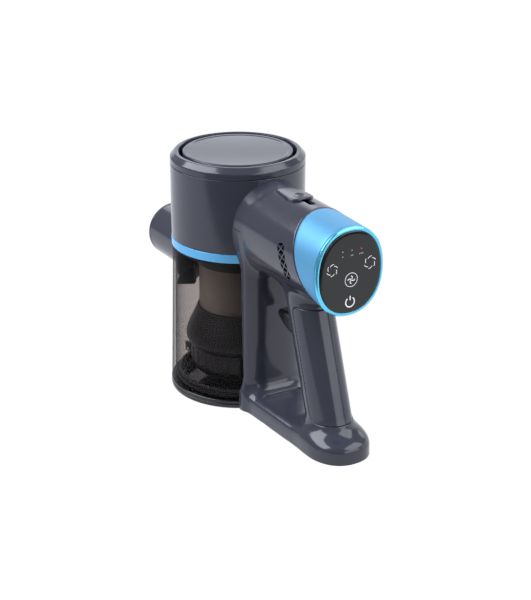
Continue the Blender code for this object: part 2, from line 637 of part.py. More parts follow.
def build_grip():
    """Front half with the neck and the foot collar, rear cover, and what is inside."""
    foot_z = BAR_TOP_Z + GAP
    low, high = COVER_Z
    front = add_object("grip_front", skin([grip_section(z, True) for z in (foot_z, GRIP_TOP_Z)]), "slate_gloss")
    cut(front, barrel_core(GAP), "barrel")
    slot_low, slot_high = TRIGGER_Z - 10.5 * MM, TRIGGER_Z + 11.5 * MM
    cut(front, box((80 * MM, -8 * MM, slot_low), (125 * MM, 8 * MM, slot_high)), "trigger_slot")
    for name, bottom, top in (("grip_rear_cover", low, high), ("grip_foot_collar", foot_z, low - GAP)):
        add_object(name, skin([grip_section(z, False) for z in (bottom, top)]), "slate_gloss")
    neck = add_object("grip_neck", skin([grip_section(z, False) for z in (high + GAP, GRIP_TOP_Z)]), "slate_gloss")
    cut(neck, barrel_core(GAP), "barrel")
    x = grip_axis(60 * MM)
    add_object("grip_board", box((x - 8 * MM, -0.8 * MM, 48 * MM), (x + 10 * MM, 0.8 * MM, 74 * MM)), "board_green")
    x = grip_axis(TRIGGER_Z)
    add_object("trigger_switch", box((x + 1 * MM, -4 * MM, TRIGGER_Z - 8 * MM),
                                     (x + 12 * MM, 4 * MM, TRIGGER_Z + 8 * MM)), "black_matt")


def build_trigger():
    """Pointed trigger that slides back into the grip's slot."""
    back = grip_axis(TRIGGER_Z) - 8.5 * MM
    tip = TRIGGER_TIP_X
    side = [(tip, TRIGGER_Z + 1.5 * MM), (tip + 1.5 * MM, TRIGGER_Z + 5 * MM), (tip + 9 * MM, TRIGGER_Z + 7 * MM),
            (back, TRIGGER_Z + 8.6 * MM), (back, TRIGGER_Z - 10 * MM), (tip + 26 * MM, TRIGGER_Z - 9.5 * MM),
            (tip + 10 * MM, TRIGGER_Z - 4.5 * MM), (tip + 1.5 * MM, TRIGGER_Z - 0.5 * MM)]
    half = 7.5 * MM
    rings = []
    for y, grow in ((-half, 0), (-0.5 * half, 1), (0.5 * half, 1), (half, 0)):
        nose = 0 if grow else 2.2 * MM
        rings.append([(x + (nose if x < tip + 12 * MM else 0), y, z) for x, z in side])
    add_object("trigger", skin(rings), "slate_dark", (tip, 0, TRIGGER_Z))


def build_charge_socket():
    length = 11 * MM
    sleeve = turned([(0, 0), (SOCKET_R, 0), (SOCKET_R, length), (SOCKET_BORE_R, length),
                     (SOCKET_BORE_R, 2 * MM), (0, 2 * MM)], FINE_SIDES)
    start = (SOCKET_X, SOCKET_FACE_Y - length, SOCKET_Z)
    add_object("charge_socket", along(sleeve, start, (0, 1, 0)), "black_matt")


def main():
    remove_everything()
    build_housing()
    build_top_cover()
    build_motor()
    build_cup()
    build_nozzle()
    build_duct()
    build_cyclone()
    build_lid()
    build_lid_fittings()
    build_barrel()
    build_front()
    build_battery()
    build_slider()
    build_strut()
    build_base()
    build_grip()
    build_trigger()
    build_charge_socket()


main()
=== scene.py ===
"""Looks of the cordless handheld vacuum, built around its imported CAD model.

Shapes are worked out in millimetres in the row frame and turned into metres when a mesh is made.
"""
import math

import bmesh
import bpy
import numpy as np
from mathutils import Matrix, Vector


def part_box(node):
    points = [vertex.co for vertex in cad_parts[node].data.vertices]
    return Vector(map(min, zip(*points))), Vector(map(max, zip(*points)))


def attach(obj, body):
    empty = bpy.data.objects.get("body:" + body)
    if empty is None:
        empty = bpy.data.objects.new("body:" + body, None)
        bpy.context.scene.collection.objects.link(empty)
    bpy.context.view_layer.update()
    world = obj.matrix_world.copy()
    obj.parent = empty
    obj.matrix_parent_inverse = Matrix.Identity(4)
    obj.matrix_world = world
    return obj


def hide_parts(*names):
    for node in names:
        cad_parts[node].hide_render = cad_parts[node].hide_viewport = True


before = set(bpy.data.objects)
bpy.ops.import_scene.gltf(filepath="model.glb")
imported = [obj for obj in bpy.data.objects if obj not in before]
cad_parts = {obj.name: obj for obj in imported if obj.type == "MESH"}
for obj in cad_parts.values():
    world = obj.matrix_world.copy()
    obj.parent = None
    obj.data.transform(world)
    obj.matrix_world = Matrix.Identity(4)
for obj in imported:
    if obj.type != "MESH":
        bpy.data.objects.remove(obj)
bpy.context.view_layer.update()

MM = 0.001
SPIN = 192                      # facets of the turned pieces

# Barrel ovals: half width, half height, centre height, exponent of the lower half
ROOT = (33.4, 38.9, 171.5, 2.5)
EDGE = (34.5, 38.0, 170.0, 2.0)
FRONT = (32.8, 38.0, 167.5, 2.0)
ROOT_X, EDGE_X, EDGE_SLOPE = 52.0, 151.0, -0.48
PANEL_HALF = (29.2, 35.0)
FRONT_POWER = 2.2               # squareness of the sleeve's front end and the panel
SLEEVE_FRONT_X = 175.65
PANEL_X = 179.5                 # face of the touch panel
MARK_X = (PANEL_X - 0.2, PANEL_X + 0.09)

# Housing and dust cup: the cup's wall widens from under the blue band down to the lid
HOUSING_R, HOUSING_HIGH_Z = 60.0, 213.3
BAND_LOW_Z, BAND_HIGH_Z = 138.6, 146.4
CUP_LOW_Z, CUP_HIGH_Z = 8.35, 138.25
CUP_FOOT_R, CUP_TOP_R = 62.5, 59.0
CUP_GAP = 0.15                  # between the handle and what it stands against
LID_R = 63.0
LID_SPACE_R = 63.7              # the handle keeps clear of the lid inside this radius
LID_SPACE_Z = 8.6               # and below this height
SCREEN_R, SCREEN_HIGH_Z = 36.0, 120.4
NOZZLE_Z, NOZZLE_R, NOZZLE_ROOT_X = 110.5, 26.1, -75.2
SADDLE_Z = 111.5
INLET_Z, INLET_R = 114.0, 15.0

# Handle
GRIP_TOP = (111.5, 146.0)       # x, z of the grip's middle line
GRIP_FOOT = (154.8, 17.7)
GRIP_HALF = (22.3, 18.8)
STRUT_HALF = 28.4
STRUT_X = 66.0                  # crown of the strut's outer face
FOOT_X = 160.0                  # where the base bar's sides end and its rounded foot begins
FOOT_HALF = (33.0, 26.6)
BASE_TOP_Z = 11.2
COVER_SEAM = 0.3                # half of the seam round the grip's rear cover

# Camera and the studio's directions, seen from above: towards the camera and to its right
CAMERA_PLACE = Vector((1.09696, -0.63535, 0.60839))
CAMERA_RIGHT = Vector((0.51766, 0.85559, 0.0006))
CAMERA_UP = Vector((-0.32969, 0.19881, 0.92292))
CAMERA_LENS = 89.73
TOWARDS = Vector((0.8654, -0.5012, 0))
RIGHTWARDS = Vector((0.5177, 0.8556, 0))
OBJECT_MIDDLE = Vector((0.03, 0, 0.11))


# ---------------------------------------------------------------- materials

RELIEF = 0.0004                 # depth of the finest relief, in metres
PLASTIC_IOR = 1.5
STUDIO_WHITE = (0.95, 0.965, 1.04)


class ShaderTree:
    """The nodes of a material or world, built from inputs that are numbers, colours or sockets."""

    def __init__(self, holder):
        holder.use_nodes = True
        self.nodes, self.links = holder.node_tree.nodes, holder.node_tree.links
        self.nodes.clear()

    def add(self, kind, inputs, operation=None):
        made = self.nodes.new(kind)
        if kind == "ShaderNodeMix":
            made.data_type = "RGBA"
        if operation:
            made.operation = operation
        for key, value in inputs.items():
            if isinstance(value, bpy.types.NodeSocket):
                self.links.new(value, made.inputs[key])
            else:
                made.inputs[key].default_value = value
        return made

    def surface(self, socket):
        self.add("ShaderNodeOutputMaterial", {"Surface": socket})

    def maths(self, operation, *values):
        return self.add("ShaderNodeMath", dict(enumerate(values)), operation).outputs["Value"]

    def xyz(self, space="Object"):
        """The three coordinates of a point."""
        place = self.add("ShaderNodeTexCoord", {})
        apart = self.add("ShaderNodeSeparateXYZ", {"Vector": place.outputs[space]})
        return apart.outputs["X"], apart.outputs["Y"], apart.outputs["Z"]

    def noise(self, scale, detail=3.0, stretch=None):
        """Noise over the object's own coordinates; stretch scales the three axes."""
        source = self.add("ShaderNodeTexCoord", {}).outputs["Object"]
        if stretch:
            source = self.add("ShaderNodeMapping", {"Vector": source, "Scale": stretch}).outputs["Vector"]
        inputs = {"Vector": source, "Scale": scale, "Detail": detail}
        return self.add("ShaderNodeTexNoise", inputs).outputs["Fac"]

    def spread(self, source, low, high, start=0.3, end=0.7):
        """Maps a noise value, or another range of values, to a range."""
        inputs = {"Value": source, "From Min": start, "From Max": end, "To Min": low, "To Max": high}
        return self.add("ShaderNodeMapRange", inputs).outputs["Result"]

    def blend(self, factor, first, second):
        """Mixes two colours, given as three numbers or as a socket."""
        first, second = ((*c, 1) if isinstance(c, tuple) else c for c in (first, second))
        return self.add("ShaderNodeMix", {"Factor": factor, "A": first, "B": second}).outputs["Result"]

    def relief(self, height, strength):
        inputs = {"Height": height, "Strength": strength, "Distance": RELIEF}
        return self.add("ShaderNodeBump", inputs).outputs["Normal"]


def new_material(name):
    made = bpy.data.materials.new(name)
    return made, ShaderTree(made)


def finish(name, colour, roughness, metallic=0.0, spread_by=0.04, grain=900.0, grain_depth=0.02,
           mottle=0.08, stretch=None):
    """Moulded, painted or metal surface with fine grain, slight mottling and uneven gloss."""
    made, tree = new_material(name)
    dark = tuple(c * (1 - mottle) for c in colour)
    light = tuple(min(1.0, c * (1 + mottle)) for c in colour)
    low, high = max(0.0, roughness - spread_by), roughness + spread_by
    shader = tree.add("ShaderNodeBsdfPrincipled", {
        "Metallic": metallic,
        "IOR": PLASTIC_IOR,
        "Base Color": tree.blend(tree.noise(24.0), dark, light),
        "Roughness": tree.spread(tree.noise(70.0, 5.0), low, high),
        "Normal": tree.relief(tree.noise(grain, 2.0, stretch), grain_depth)})
    tree.surface(shader.outputs["BSDF"])
    return made


def smoke_material():
    """Clear smoked plastic: a tinted see-through wall with a gloss that grows at the edges."""
    made, tree = new_material("smoke_clear")
    facing = tree.add("ShaderNodeLayerWeight", {"Blend": 0.5}).outputs["Facing"]
    tint = tree.blend(tree.noise(18.0), (0.745, 0.725, 0.72), (0.775, 0.755, 0.75))
    thick = tree.blend(tree.maths("POWER", facing, 4.0), tint, (0.6, 0.58, 0.585))
    scuffs = tree.noise(130.0, 6.0, (1, 1, 0.2))
    see = tree.add("ShaderNodeBsdfTransparent", {"Color": thick})
    sheen = tree.spread(scuffs, 0.01, 0.05)
    gloss = tree.add("ShaderNodeBsdfGlossy", {"Color": (0.12, 0.12, 0.125, 1), "Roughness": sheen})
    edge = tree.spread(tree.maths("POWER", facing, 5.0), 0.035, 1.0, 0.0, 1.0)
    mix = tree.add("ShaderNodeMixShader", {"Fac": edge, 1: see.outputs["BSDF"], 2: gloss.outputs["BSDF"]})
    tree.surface(mix.outputs["Shader"])
    return made


def mesh_material():
    """Woven metal screen: crossed wires, with painted shade in the holes between them."""
    made, tree = new_material("mesh_metal")
    x, y, z = tree.xyz()
    upright_wires = tree.maths("SINE", tree.maths("MULTIPLY", tree.maths("ARCTAN2", y, x), 260.0))
    level_wires = tree.maths("SINE", tree.maths("MULTIPLY", z, 7000.0))
    weave = tree.maths("MAXIMUM", upright_wires, level_wires)
    wire_and_hole_shade = tree.spread(weave, 0.0, 1.0, -0.4, 0.9)
    # The dark colour between the wires is painted shade: it stands in for the shaded inside of the cup seen
    # through the holes.
    shader = tree.add("ShaderNodeBsdfPrincipled", {
        "Metallic": 0.85,
        "Base Color": tree.blend(wire_and_hole_shade, (0.03, 0.026, 0.023), (0.40, 0.345, 0.29)),
        "Roughness": tree.spread(tree.noise(60.0), 0.38, 0.55),
        "Normal": tree.relief(weave, 0.6)})
    tree.surface(shader.outputs["BSDF"])
    return made


def print_material(name, colour, strength):
    """Printed mark with a faint back light."""
    made, tree = new_material(name)
    ink = tree.blend(tree.noise(1500.0, 2.0), tuple(0.8 * c for c in colour), colour)
    shader = tree.add("ShaderNodeBsdfPrincipled", {
        "Roughness": 0.5, "Base Color": ink, "Emission Color": ink, "Emission Strength": strength})
    tree.surface(shader.outputs["BSDF"])
    return made


SLATE = finish("slate_gloss", (0.0365, 0.039, 0.058), 0.15, spread_by=0.025, grain=700.0, grain_depth=0.015)
SLATE_DARK = finish("slate_dark", (0.022, 0.022, 0.026), 0.26, spread_by=0.05)
CYCLONE = finish("cyclone_black", (0.004, 0.004, 0.0045), 0.42, spread_by=0.05)
BLACK_GLOSS = finish("black_gloss", (0.006, 0.006, 0.0065), 0.16, spread_by=0.03)
BLACK_MATT = finish("black_matt", (0.012, 0.012, 0.013), 0.5, spread_by=0.06, grain=1400.0, grain_depth=0.12)
PANEL = finish("panel_black", (0.005, 0.005, 0.0055), 0.12, spread_by=0.015, grain_depth=0.004)
BLUE = finish("blue_metal", (0.098, 0.34, 0.57), 0.48, 0.5, spread_by=0.03, grain=1800.0, grain_depth=0.012,
              mottle=0.03)
BAND_BLUE = finish("band_blue", (0.11, 0.42, 0.74), 0.25, 0.35, spread_by=0.03, grain_depth=0.01)
BEZEL_BLUE = finish("bezel_blue", (0.15, 0.62, 0.86), 0.22, 0.92, spread_by=0.03, grain_depth=0.01)
STEEL = finish("steel", (0.60, 0.60, 0.62), 0.3, 1.0, grain=1500.0, grain_depth=0.05, stretch=(1, 1, 0.1))
MAGNET = finish("magnet", (0.12, 0.12, 0.13), 0.35, 0.8)
COPPER = finish("copper", (0.62, 0.27, 0.13), 0.32, 1.0, grain=500.0, grain_depth=0.4, stretch=(1, 1, 4))
BOARD = finish("board_green", (0.02, 0.11, 0.05), 0.4, grain=260.0, grain_depth=0.2, mottle=0.35)
RUBBER = finish("rubber", (0.012, 0.012, 0.012), 0.75, spread_by=0.08, grain=1200.0, grain_depth=0.2)
PAPER = finish("filter_paper", (0.72, 0.71, 0.66), 0.9, spread_by=0.05, grain=1600.0, grain_depth=0.5,
               mottle=0.06)
WRAP = finish("cell_wrap", (0.06, 0.2, 0.45), 0.3, grain_depth=0.05)
SMOKE = smoke_material()
MESH_METAL = mesh_material()
MARK_WHITE = print_material("mark_white", (0.86, 0.87, 0.9), 0.55)
MARK_DIM = print_material("mark_dim", (0.42, 0.43, 0.46), 0.25)
MARK_RED = print_material("mark_red", (0.75, 0.10, 0.08), 0.5)


# ---------------------------------------------------------------- meshes

def mesh_of(name, points, faces, merge=True):
    """A closed mesh of points in millimetres with outward normals."""
    mesh = bpy.data.meshes.new(name)
    mesh.from_pydata((np.asarray(points, float) * MM).tolist(), [], [list(map(int, f)) for f in faces])
    bm = bmesh.new()
    bm.from_mesh(mesh)
    if merge:
        bmesh.ops.remove_doubles(bm, verts=bm.verts, dist=1e-6)
    bmesh.ops.recalc_face_normals(bm, faces=bm.faces)
    bm.to_mesh(mesh)
    bm.free()
    return mesh


def add_to_scene(name, data):
    obj = bpy.data.objects.new(name, data)
    bpy.context.scene.collection.objects.link(obj)
    return obj


def soften(mesh, angle=35.0):
    """Smooth shading, except over edges that are sharper than the angle."""
    mesh.shade_smooth()
    mesh.set_sharp_from_angle(angle=math.radians(angle))


def ride_along(name, mesh, body, nodes):
    """Puts a mesh on a CAD body, in place of some CAD nodes."""
    obj = add_to_scene(name, mesh)
    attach(obj, body)
    if nodes:
        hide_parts(*nodes)
    return obj


def piece(name, points, faces, material, body, slot, nodes=(), angle=35.0):
    """Makes an object of points in millimetres, on a CAD body, in place of some CAD nodes."""
    mesh = mesh_of(name, points, faces)
    soften(mesh, angle)
    mesh.materials.append(material)
    return ride_along(name, mesh, body, nodes)


def rounded(outline, steps=5, guard=0.3):
    """Rounds the corners of a closed outline of (a, b, radius) and keeps the flats beside them flat."""
    result = []
    count = len(outline)
    for i, (a, b, radius) in enumerate(outline):
        corner = np.array((a, b), float)
        if radius <= 0:
            result.append(corner)
            continue
        back = np.array(outline[i - 1][:2]) - corner
        ahead = np.array(outline[(i + 1) % count][:2]) - corner
        back_length, ahead_length = np.linalg.norm(back), np.linalg.norm(ahead)
        back, ahead = back / back_length, ahead / ahead_length
        half = 0.5 * math.acos(np.clip(back @ ahead, -1, 1))
        setback = min(radius / math.tan(half), 0.45 * back_length, 0.45 * ahead_length)
        radius = setback * math.tan(half)
        middle = corner + (back + ahead) / np.linalg.norm(back + ahead) * radius / math.sin(half)
        first, last = corner + back * setback, corner + ahead * setback
        if back_length > 4 * (setback + guard):
            result.append(first + back * guard)
        start, end = first - middle, last - middle
        sweep = math.acos(np.clip(start @ end / (radius * radius), -1, 1))
        for k in range(steps + 1):
            t = k / steps
            swung = start * math.sin((1 - t) * sweep) + end * math.sin(t * sweep)
            result.append(middle + swung / math.sin(sweep))
        if ahead_length > 4 * (setback + guard):
            result.append(last + ahead * guard)
    return result


def loft(rings, wrap=False):
    """Joins rings of equal length into a closed mesh, round to the first ring or with two end caps."""
    count = len(rings[0])
    points = np.concatenate([np.asarray(r, float) for r in rings])
    k = np.arange(count)
    after = (k + 1) % count
    faces = []
    for i in range(len(rings) if wrap else len(rings) - 1):
        j = (i + 1) % len(rings)
        faces.append(np.stack([i * count + k, i * count + after, j * count + after, j * count + k], 1))
    faces = np.concatenate(faces).tolist()
    if not wrap:
        faces.append(list(range(count)))
        faces.append(list(range((len(rings) - 1) * count, len(rings) * count)))
    return points, faces


def lathe(profile, sides=SPIN, start=0.0, sweep=math.tau):
    """Turns a closed (radius, height) outline about Z; a partial sweep gets end caps."""
    whole = abs(sweep - math.tau) < 1e-6
    steps = sides if whole else sides + 1
    angles = start + sweep * np.arange(steps) / sides
    profile = np.asarray(profile, float)
    radius, height = np.maximum(profile[:, 0], 0), profile[:, 1]
    rings = [np.stack([radius * math.cos(a), radius * math.sin(a), height], 1) for a in angles]
    return loft(rings, wrap=whole)


def turned(name, outline, *looks):
    """A piece turned from an outline with rounded corners."""
    return piece(name, *lathe(rounded(outline)), *looks)


def on_circle(centre, radius, angle):
    return centre[0] + radius * math.cos(angle), centre[1] + radius * math.sin(angle)


def oval(x, half_width, half_height, centre_z, power=2.0):
    """A ring of points round an upright oval across the barrel."""
    a = math.tau * np.arange(240) / 240
    c, s = np.cos(a), np.sin(a)
    y = half_width * np.sign(c) * np.abs(c) ** (2 / power)
    z = centre_z + half_height * np.sign(s) * np.abs(s) ** (2 / power)
    return np.stack([np.full(len(a), float(x)), y, z], 1)


# ---------------------------------------------------------------- solids from distance fields

def unit(vectors):
    return vectors / np.maximum(np.linalg.norm(vectors, axis=1, keepdims=True), 1e-9)


def gradient(field, points):
    result = np.empty_like(points)
    step = 0.02
    for axis in range(3):
        shift = np.zeros(3)
        shift[axis] = step
        result[:, axis] = (field(points + shift) - field(points - shift)) / (2 * step)
    return result


def contour(field, low, high, step):
    """Dual contouring: one vertex in each cell the surface crosses, where its tangent planes meet."""
    axes = [np.arange(a, b + step, step) for a, b in zip(low, high)]
    shape = [len(a) for a in axes]
    yz = np.stack(np.meshgrid(axes[1], axes[2], indexing="ij"), -1).reshape(-1, 2)
    value = np.stack([field(np.insert(yz, 0, x, axis=1)).reshape(shape[1:]) for x in axes[0]])
    inside = value < 0
    strides = np.array([shape[1] * shape[2], shape[2], 1])
    crossings, normals, quads = [], [], []
    for axis in range(3):
        first = [slice(None)] * 3
        second = [slice(None)] * 3
        first[axis], second[axis] = slice(0, -1), slice(1, None)
        change = inside[tuple(first)] != inside[tuple(second)]
        node = np.argwhere(change)
        others = [a for a in range(3) if a != axis]
        node = node[(node[:, others] > 0).all(1)]
        origin = np.stack([axes[a][node[:, a]] for a in range(3)], 1)
        low_value = value[tuple(node.T)]
        after = node.copy()
        after[:, axis] += 1
        high_value = value[tuple(after.T)]
        # Narrow down the place on each grid edge where the field changes its sign
        near, far = np.zeros(len(node)), np.full(len(node), step)
        for _ in range(4):
            at = near + (far - near) * low_value / (low_value - high_value)
            spot = origin.copy()
            spot[:, axis] += at
            here = field(spot)
            same = (here < 0) == (low_value < 0)
            near, low_value = np.where(same, at, near), np.where(same, here, low_value)
            far, high_value = np.where(same, far, at), np.where(same, high_value, here)
        # The four cells round the edge make one face, turned the right way out
        u, v = others
        cell = node @ strides
        around = np.stack([cell - strides[u] - strides[v], cell - strides[v], cell, cell - strides[u]], 1)
        flip = inside[tuple(node.T)] == (axis == 1)
        around[flip] = around[flip][:, ::-1]
        quads.append(around)
        crossings.append(np.repeat(spot, 4, 0))
        normals.append(np.repeat(unit(gradient(field, spot)), 4, 0))
    quads = np.concatenate(quads)
    crossings, normals = np.concatenate(crossings), np.concatenate(normals)
    cells, index = np.unique(quads.reshape(-1), return_inverse=True)
    # Each cell's vertex starts in the middle of its crossings and moves to their tangent planes
    centre = np.stack([np.bincount(index, crossings[:, a]) for a in range(3)], 1)
    centre /= np.bincount(index)[:, None]
    offset = ((crossings - centre[index]) * normals).sum(1)
    matrix = np.empty((len(cells), 3, 3))
    right = np.empty((len(cells), 3))
    for a in range(3):
        right[:, a] = np.bincount(index, normals[:, a] * offset)
        for b in range(3):
            matrix[:, a, b] = np.bincount(index, normals[:, a] * normals[:, b])
    matrix += 0.05 * np.eye(3)
    shift = np.linalg.solve(matrix, right[:, :, None])[:, :, 0]
    points = centre + np.clip(shift, -step, step)
    return points, index.reshape(-1, 4)


def smooth_min(a, b, k):
    h = np.maximum(k - np.abs(a - b), 0) / k
    return np.minimum(a, b) - h * h * k / 4


def smooth_max(a, b, k):
    return -smooth_min(-a, -b, k)


def common(*distances):
    """Distance to what several solids have in common."""
    return np.maximum.reduce(distances)


def rounded_box(a, b, centre, half, radius):
    """Distance to a rounded rectangle in a plane."""
    da = np.abs(a - centre[0]) - half[0] + radius
    db = np.abs(b - centre[1]) - half[1] + radius
    outside = np.hypot(np.maximum(da, 0), np.maximum(db, 0))
    return outside + np.minimum(np.maximum(da, db), 0) - radius


def polygon_distance(a, b, corners):
    """Signed distance to a closed polygon in a plane."""
    nearest = np.full(a.shape, np.inf)
    winding = np.ones(a.shape)
    for (ax, ay), (bx, by) in zip(corners, corners[1:] + corners[:1]):
        ex, ey = bx - ax, by - ay
        wx, wy = a - ax, b - ay
        t = np.clip((wx * ex + wy * ey) / (ex * ex + ey * ey), 0, 1)
        nearest = np.minimum(nearest, (wx - ex * t) ** 2 + (wy - ey * t) ** 2)
        c1, c2, c3 = b >= ay, b < by, ex * wy > ey * wx
        winding = np.where((c1 & c2 & c3) | (~c1 & ~c2 & ~c3), -winding, winding)
    return winding * np.sqrt(nearest)


def smooth_path(corners, rounds):
    """Rounds a closed polygon by cutting its corners a few times."""
    points = np.asarray(corners, float)
    for _ in range(rounds):
        after = np.roll(points, -1, 0)
        points = np.stack([0.75 * points + 0.25 * after, 0.25 * points + 0.75 * after], 1).reshape(-1, 2)
    return [tuple(p) for p in points]


def barrel_distance(p):
    """Distance to the barrel's outer oval, with its slight flare at the housing."""
    x, y, z = p.T
    t = np.clip((x - ROOT_X) / (EDGE_X - ROOT_X), 0, 1)
    width, height, centre, lower = (a + (b - a) * t for a, b in zip(ROOT, EDGE))
    e = np.where(z > centre, 2.0, lower)
    rho = ((np.abs(y) / width) ** e + (np.abs(z - centre) / height) ** e) ** (1 / e)
    r = np.hypot(y, z - centre)
    body = r - r / np.maximum(rho, 1e-3)
    top = np.clip((z - centre) / height, 0, 1) ** 2
    reach = np.clip(1 - (np.hypot(x, y) - HOUSING_R) / (8 + 9 * top), 0, 1)
    return body - (0.7 + 1.2 * top) * reach ** 1.5


def base_outline(x, y):
    """Distance to the outline of the base bar, with its squarish rounded foot."""
    taper = np.clip((x - 50) / (FOOT_X - 50), 0, 1)
    straight = np.abs(y) - (FOOT_HALF[1] + 2.9 * (1 - taper))
    ahead = np.maximum(x - FOOT_X, 0)
    e = 2.3                     # squareness of the foot
    rho = ((ahead / FOOT_HALF[0]) ** e + (np.abs(y) / FOOT_HALF[1]) ** e) ** (1 / e)
    r = np.hypot(ahead, y)
    return np.where(x < FOOT_X, straight, r - r / np.maximum(rho, 1e-3))


def base_distance(p):
    """Base bar with a crowned top that falls off towards its edge, and a shallow tray in it."""
    x, y, z = p.T
    inset = base_outline(x, y)
    fall_width, crown = 3.2, 6.2
    fall = np.exp(-np.maximum(-inset, 0) / fall_width)
    slope = crown / fall_width * fall
    top = (z - BASE_TOP_Z - crown * (1 - fall)) / np.sqrt(1 + slope ** 2)
    body = common(smooth_max(inset, top, 1.6), -z)
    tray = common(rounded_box(x, y, (103, 0), (29, 21.5), 6), 16.1 - z)
    return smooth_max(body, -tray, 0.9)


def grip_middle(z):
    return GRIP_TOP[0] + (GRIP_FOOT[0] - GRIP_TOP[0]) * (GRIP_TOP[1] - z) / (GRIP_TOP[1] - GRIP_FOOT[1])


def handle_distance(p):
    """Strut, base bar, grip and barrel as one moulded form with filleted corners."""
    x, y, z = p.T
    side = np.abs(y)
    outer = STRUT_X - 6.4 * np.minimum(side / STRUT_HALF, 1.3) ** 3
    strut = smooth_max(side - STRUT_HALF, x - outer, 2.2)
    strut = common(strut, z - 165, 3 - z)
    across = x - grip_middle(z)
    rho = np.hypot(across / GRIP_HALF[0], y / GRIP_HALF[1])
    r = np.hypot(across, y)
    grip = common((r - r / np.maximum(rho, 1e-3)) * 0.95, z - 150, 4 - z)
    form = smooth_min(smooth_min(strut, base_distance(p), 13), grip, 15)
    return smooth_max(smooth_min(form, barrel_distance(p), 10), -z, 1.2)


def cover_region(p):
    """Distance to the outline of the grip's rear cover, seen from the side."""
    x, _, z = p.T
    return rounded_box(x - grip_middle(z), z, (30.8, 74.6), (30, 47.2), 7)


def widening(z):
    """How much wider the dust cup is at a height than under the blue band."""
    fall = (BAND_LOW_Z - z) / (BAND_LOW_Z - LID_SPACE_Z)
    return (CUP_FOOT_R - CUP_TOP_R) * np.clip(fall, 0, 1)


def shell_distance(p):
    """The handle and barrel moulding with everything that is cut out of it."""
    x, y, z = p.T
    radius = np.hypot(x, y)
    cup_space = HOUSING_R + CUP_GAP + widening(z) - radius
    lid_space = common(radius - LID_SPACE_R, z - LID_SPACE_Z)
    d = common(handle_distance(p), cup_space, -lid_space, -2.6 - barrel_distance(p))
    oblique_end = (x - EDGE_X + 0.6 - EDGE_SLOPE * (z - EDGE[2])) / math.hypot(1, EDGE_SLOPE)
    d = smooth_max(d, oblique_end, 0.4)
    slider_slot = common(rounded_box(x, y, (105, 0), (19, 3.1), 3), 195 - z)
    trigger_slot = common(rounded_box(y, z, (0, 95.5), (8.0, 10.9), 3), np.abs(x - 99) - 19)
    d = common(d, -slider_slot, -trigger_slot)
    d = smooth_max(d, COVER_SEAM - cover_region(p), 0.5)
    plate_recess = common(base_outline(x, y) + 3.0, 70 - x, z - 2.7)
    charge_inlet = common(np.hypot(x - 140, z - 7.6) - 5.1, 15 - y)
    return common(d, -plate_recess, -charge_inlet)


def cover_distance(p):
    return smooth_max(handle_distance(p), cover_region(p) + COVER_SEAM, 0.5)


TRIGGER_SIDE = smooth_path([(74.6, 96.2), (77, 100.4), (85, 102.4), (94, 103.8), (120.5, 104), (120.5, 85.2),
                            (101, 85.4), (93.5, 87.6), (85, 91.2), (76.8, 93.6)], 2)


def trigger_distance(p):
    x, y, z = p.T
    width = 7.3 - 2.6 * np.clip((90 - x) / 15, 0, 1) ** 1.5
    return smooth_max(polygon_distance(x, z, TRIGGER_SIDE), np.abs(y) - width, 3.6)


SLIDER_HALF = [(75.5, 6.2), (79.0, 8.6), (102, 11.2), (107, 10.2), (110.1, 6.5)]
SLIDER_OUTLINE = [(x, -y) for x, y in SLIDER_HALF] + [(111.0, 0)] + SLIDER_HALF[::-1]
SLIDER_TOP_Z = 211.0


def slider_distance(p):
    """Shield-shaped slider with a shallow thumb dimple."""
    x, y, z = p.T
    outline = polygon_distance(x, y, SLIDER_OUTLINE) - 0.2
    top = z - SLIDER_TOP_Z + 1.3 * (y / 11) ** 2
    d = smooth_max(outline, top, 1.4)
    dimple = np.sqrt((x - 103.6) ** 2 + y ** 2 + (z - SLIDER_TOP_Z - 20) ** 2) - 21.2
    d = smooth_max(d, -dimple, 0.5)
    return np.maximum(d, 0.35 - barrel_distance(p))


def read(collection, name, width, kind=float):
    """A property of all items of a mesh collection, one row for each."""
    values = np.empty(len(collection) * width, kind)
    collection.foreach_get(name, values)
    return values.reshape(-1, width)


def exact_normals(mesh, field):
    """Gives the faces that lie on the field's surface the field's own normals."""
    corner = read(mesh.loops, "vertex_index", 1, np.int32)[:, 0]
    totals = read(mesh.polygons, "loop_total", 1, np.int32)
    points = read(mesh.vertices, "co", 3) / MM
    flat = read(mesh.polygons, "normal", 3)
    owner = np.repeat(np.arange(len(totals)), totals[:, 0])
    middle = np.stack([np.bincount(owner, points[corner, a]) for a in range(3)], 1) / totals
    slope = unit(gradient(field, points[corner] * 0.85 + middle[owner] * 0.15))
    agree = (slope * flat[owner]).sum(1) > 0.8
    mesh.normals_split_custom_set(np.where(agree[:, None], slope, flat[owner]).tolist())


def subtract(obj, points, faces):
    """Cuts closed bodies out of an object and applies the cut."""
    cutter = add_to_scene("cutter", mesh_of("cutter", points, faces, merge=False))
    boolean = obj.modifiers.new("cut", "BOOLEAN")
    boolean.object = cutter
    boolean.solver = "EXACT"
    bpy.context.view_layer.update()
    result = bpy.data.meshes.new_from_object(obj.evaluated_get(bpy.context.evaluated_depsgraph_get()))
    obj.modifiers.remove(boolean)
    obj.data = result
    bpy.data.objects.remove(cutter)


def from_field(name, field, low, high, step, *looks, cutters=None):
    """A piece on the zero surface of a distance field, less the cutters."""
    obj = piece(name, *contour(field, low, high, step), *looks)
    if cutters:
        subtract(obj, *cutters)
        soften(obj.data)
    exact_normals(obj.data, field)


def joined(parts):
    """One mesh of several (points, faces) pairs."""
    points, faces, base = [], [], 0
    for p, f in parts:
        points.append(np.asarray(p, float))
        faces += [[i + base for i in face] for face in f]
        base += len(p)
    return np.concatenate(points), faces


# ---------------------------------------------------------------- handle, barrel and controls

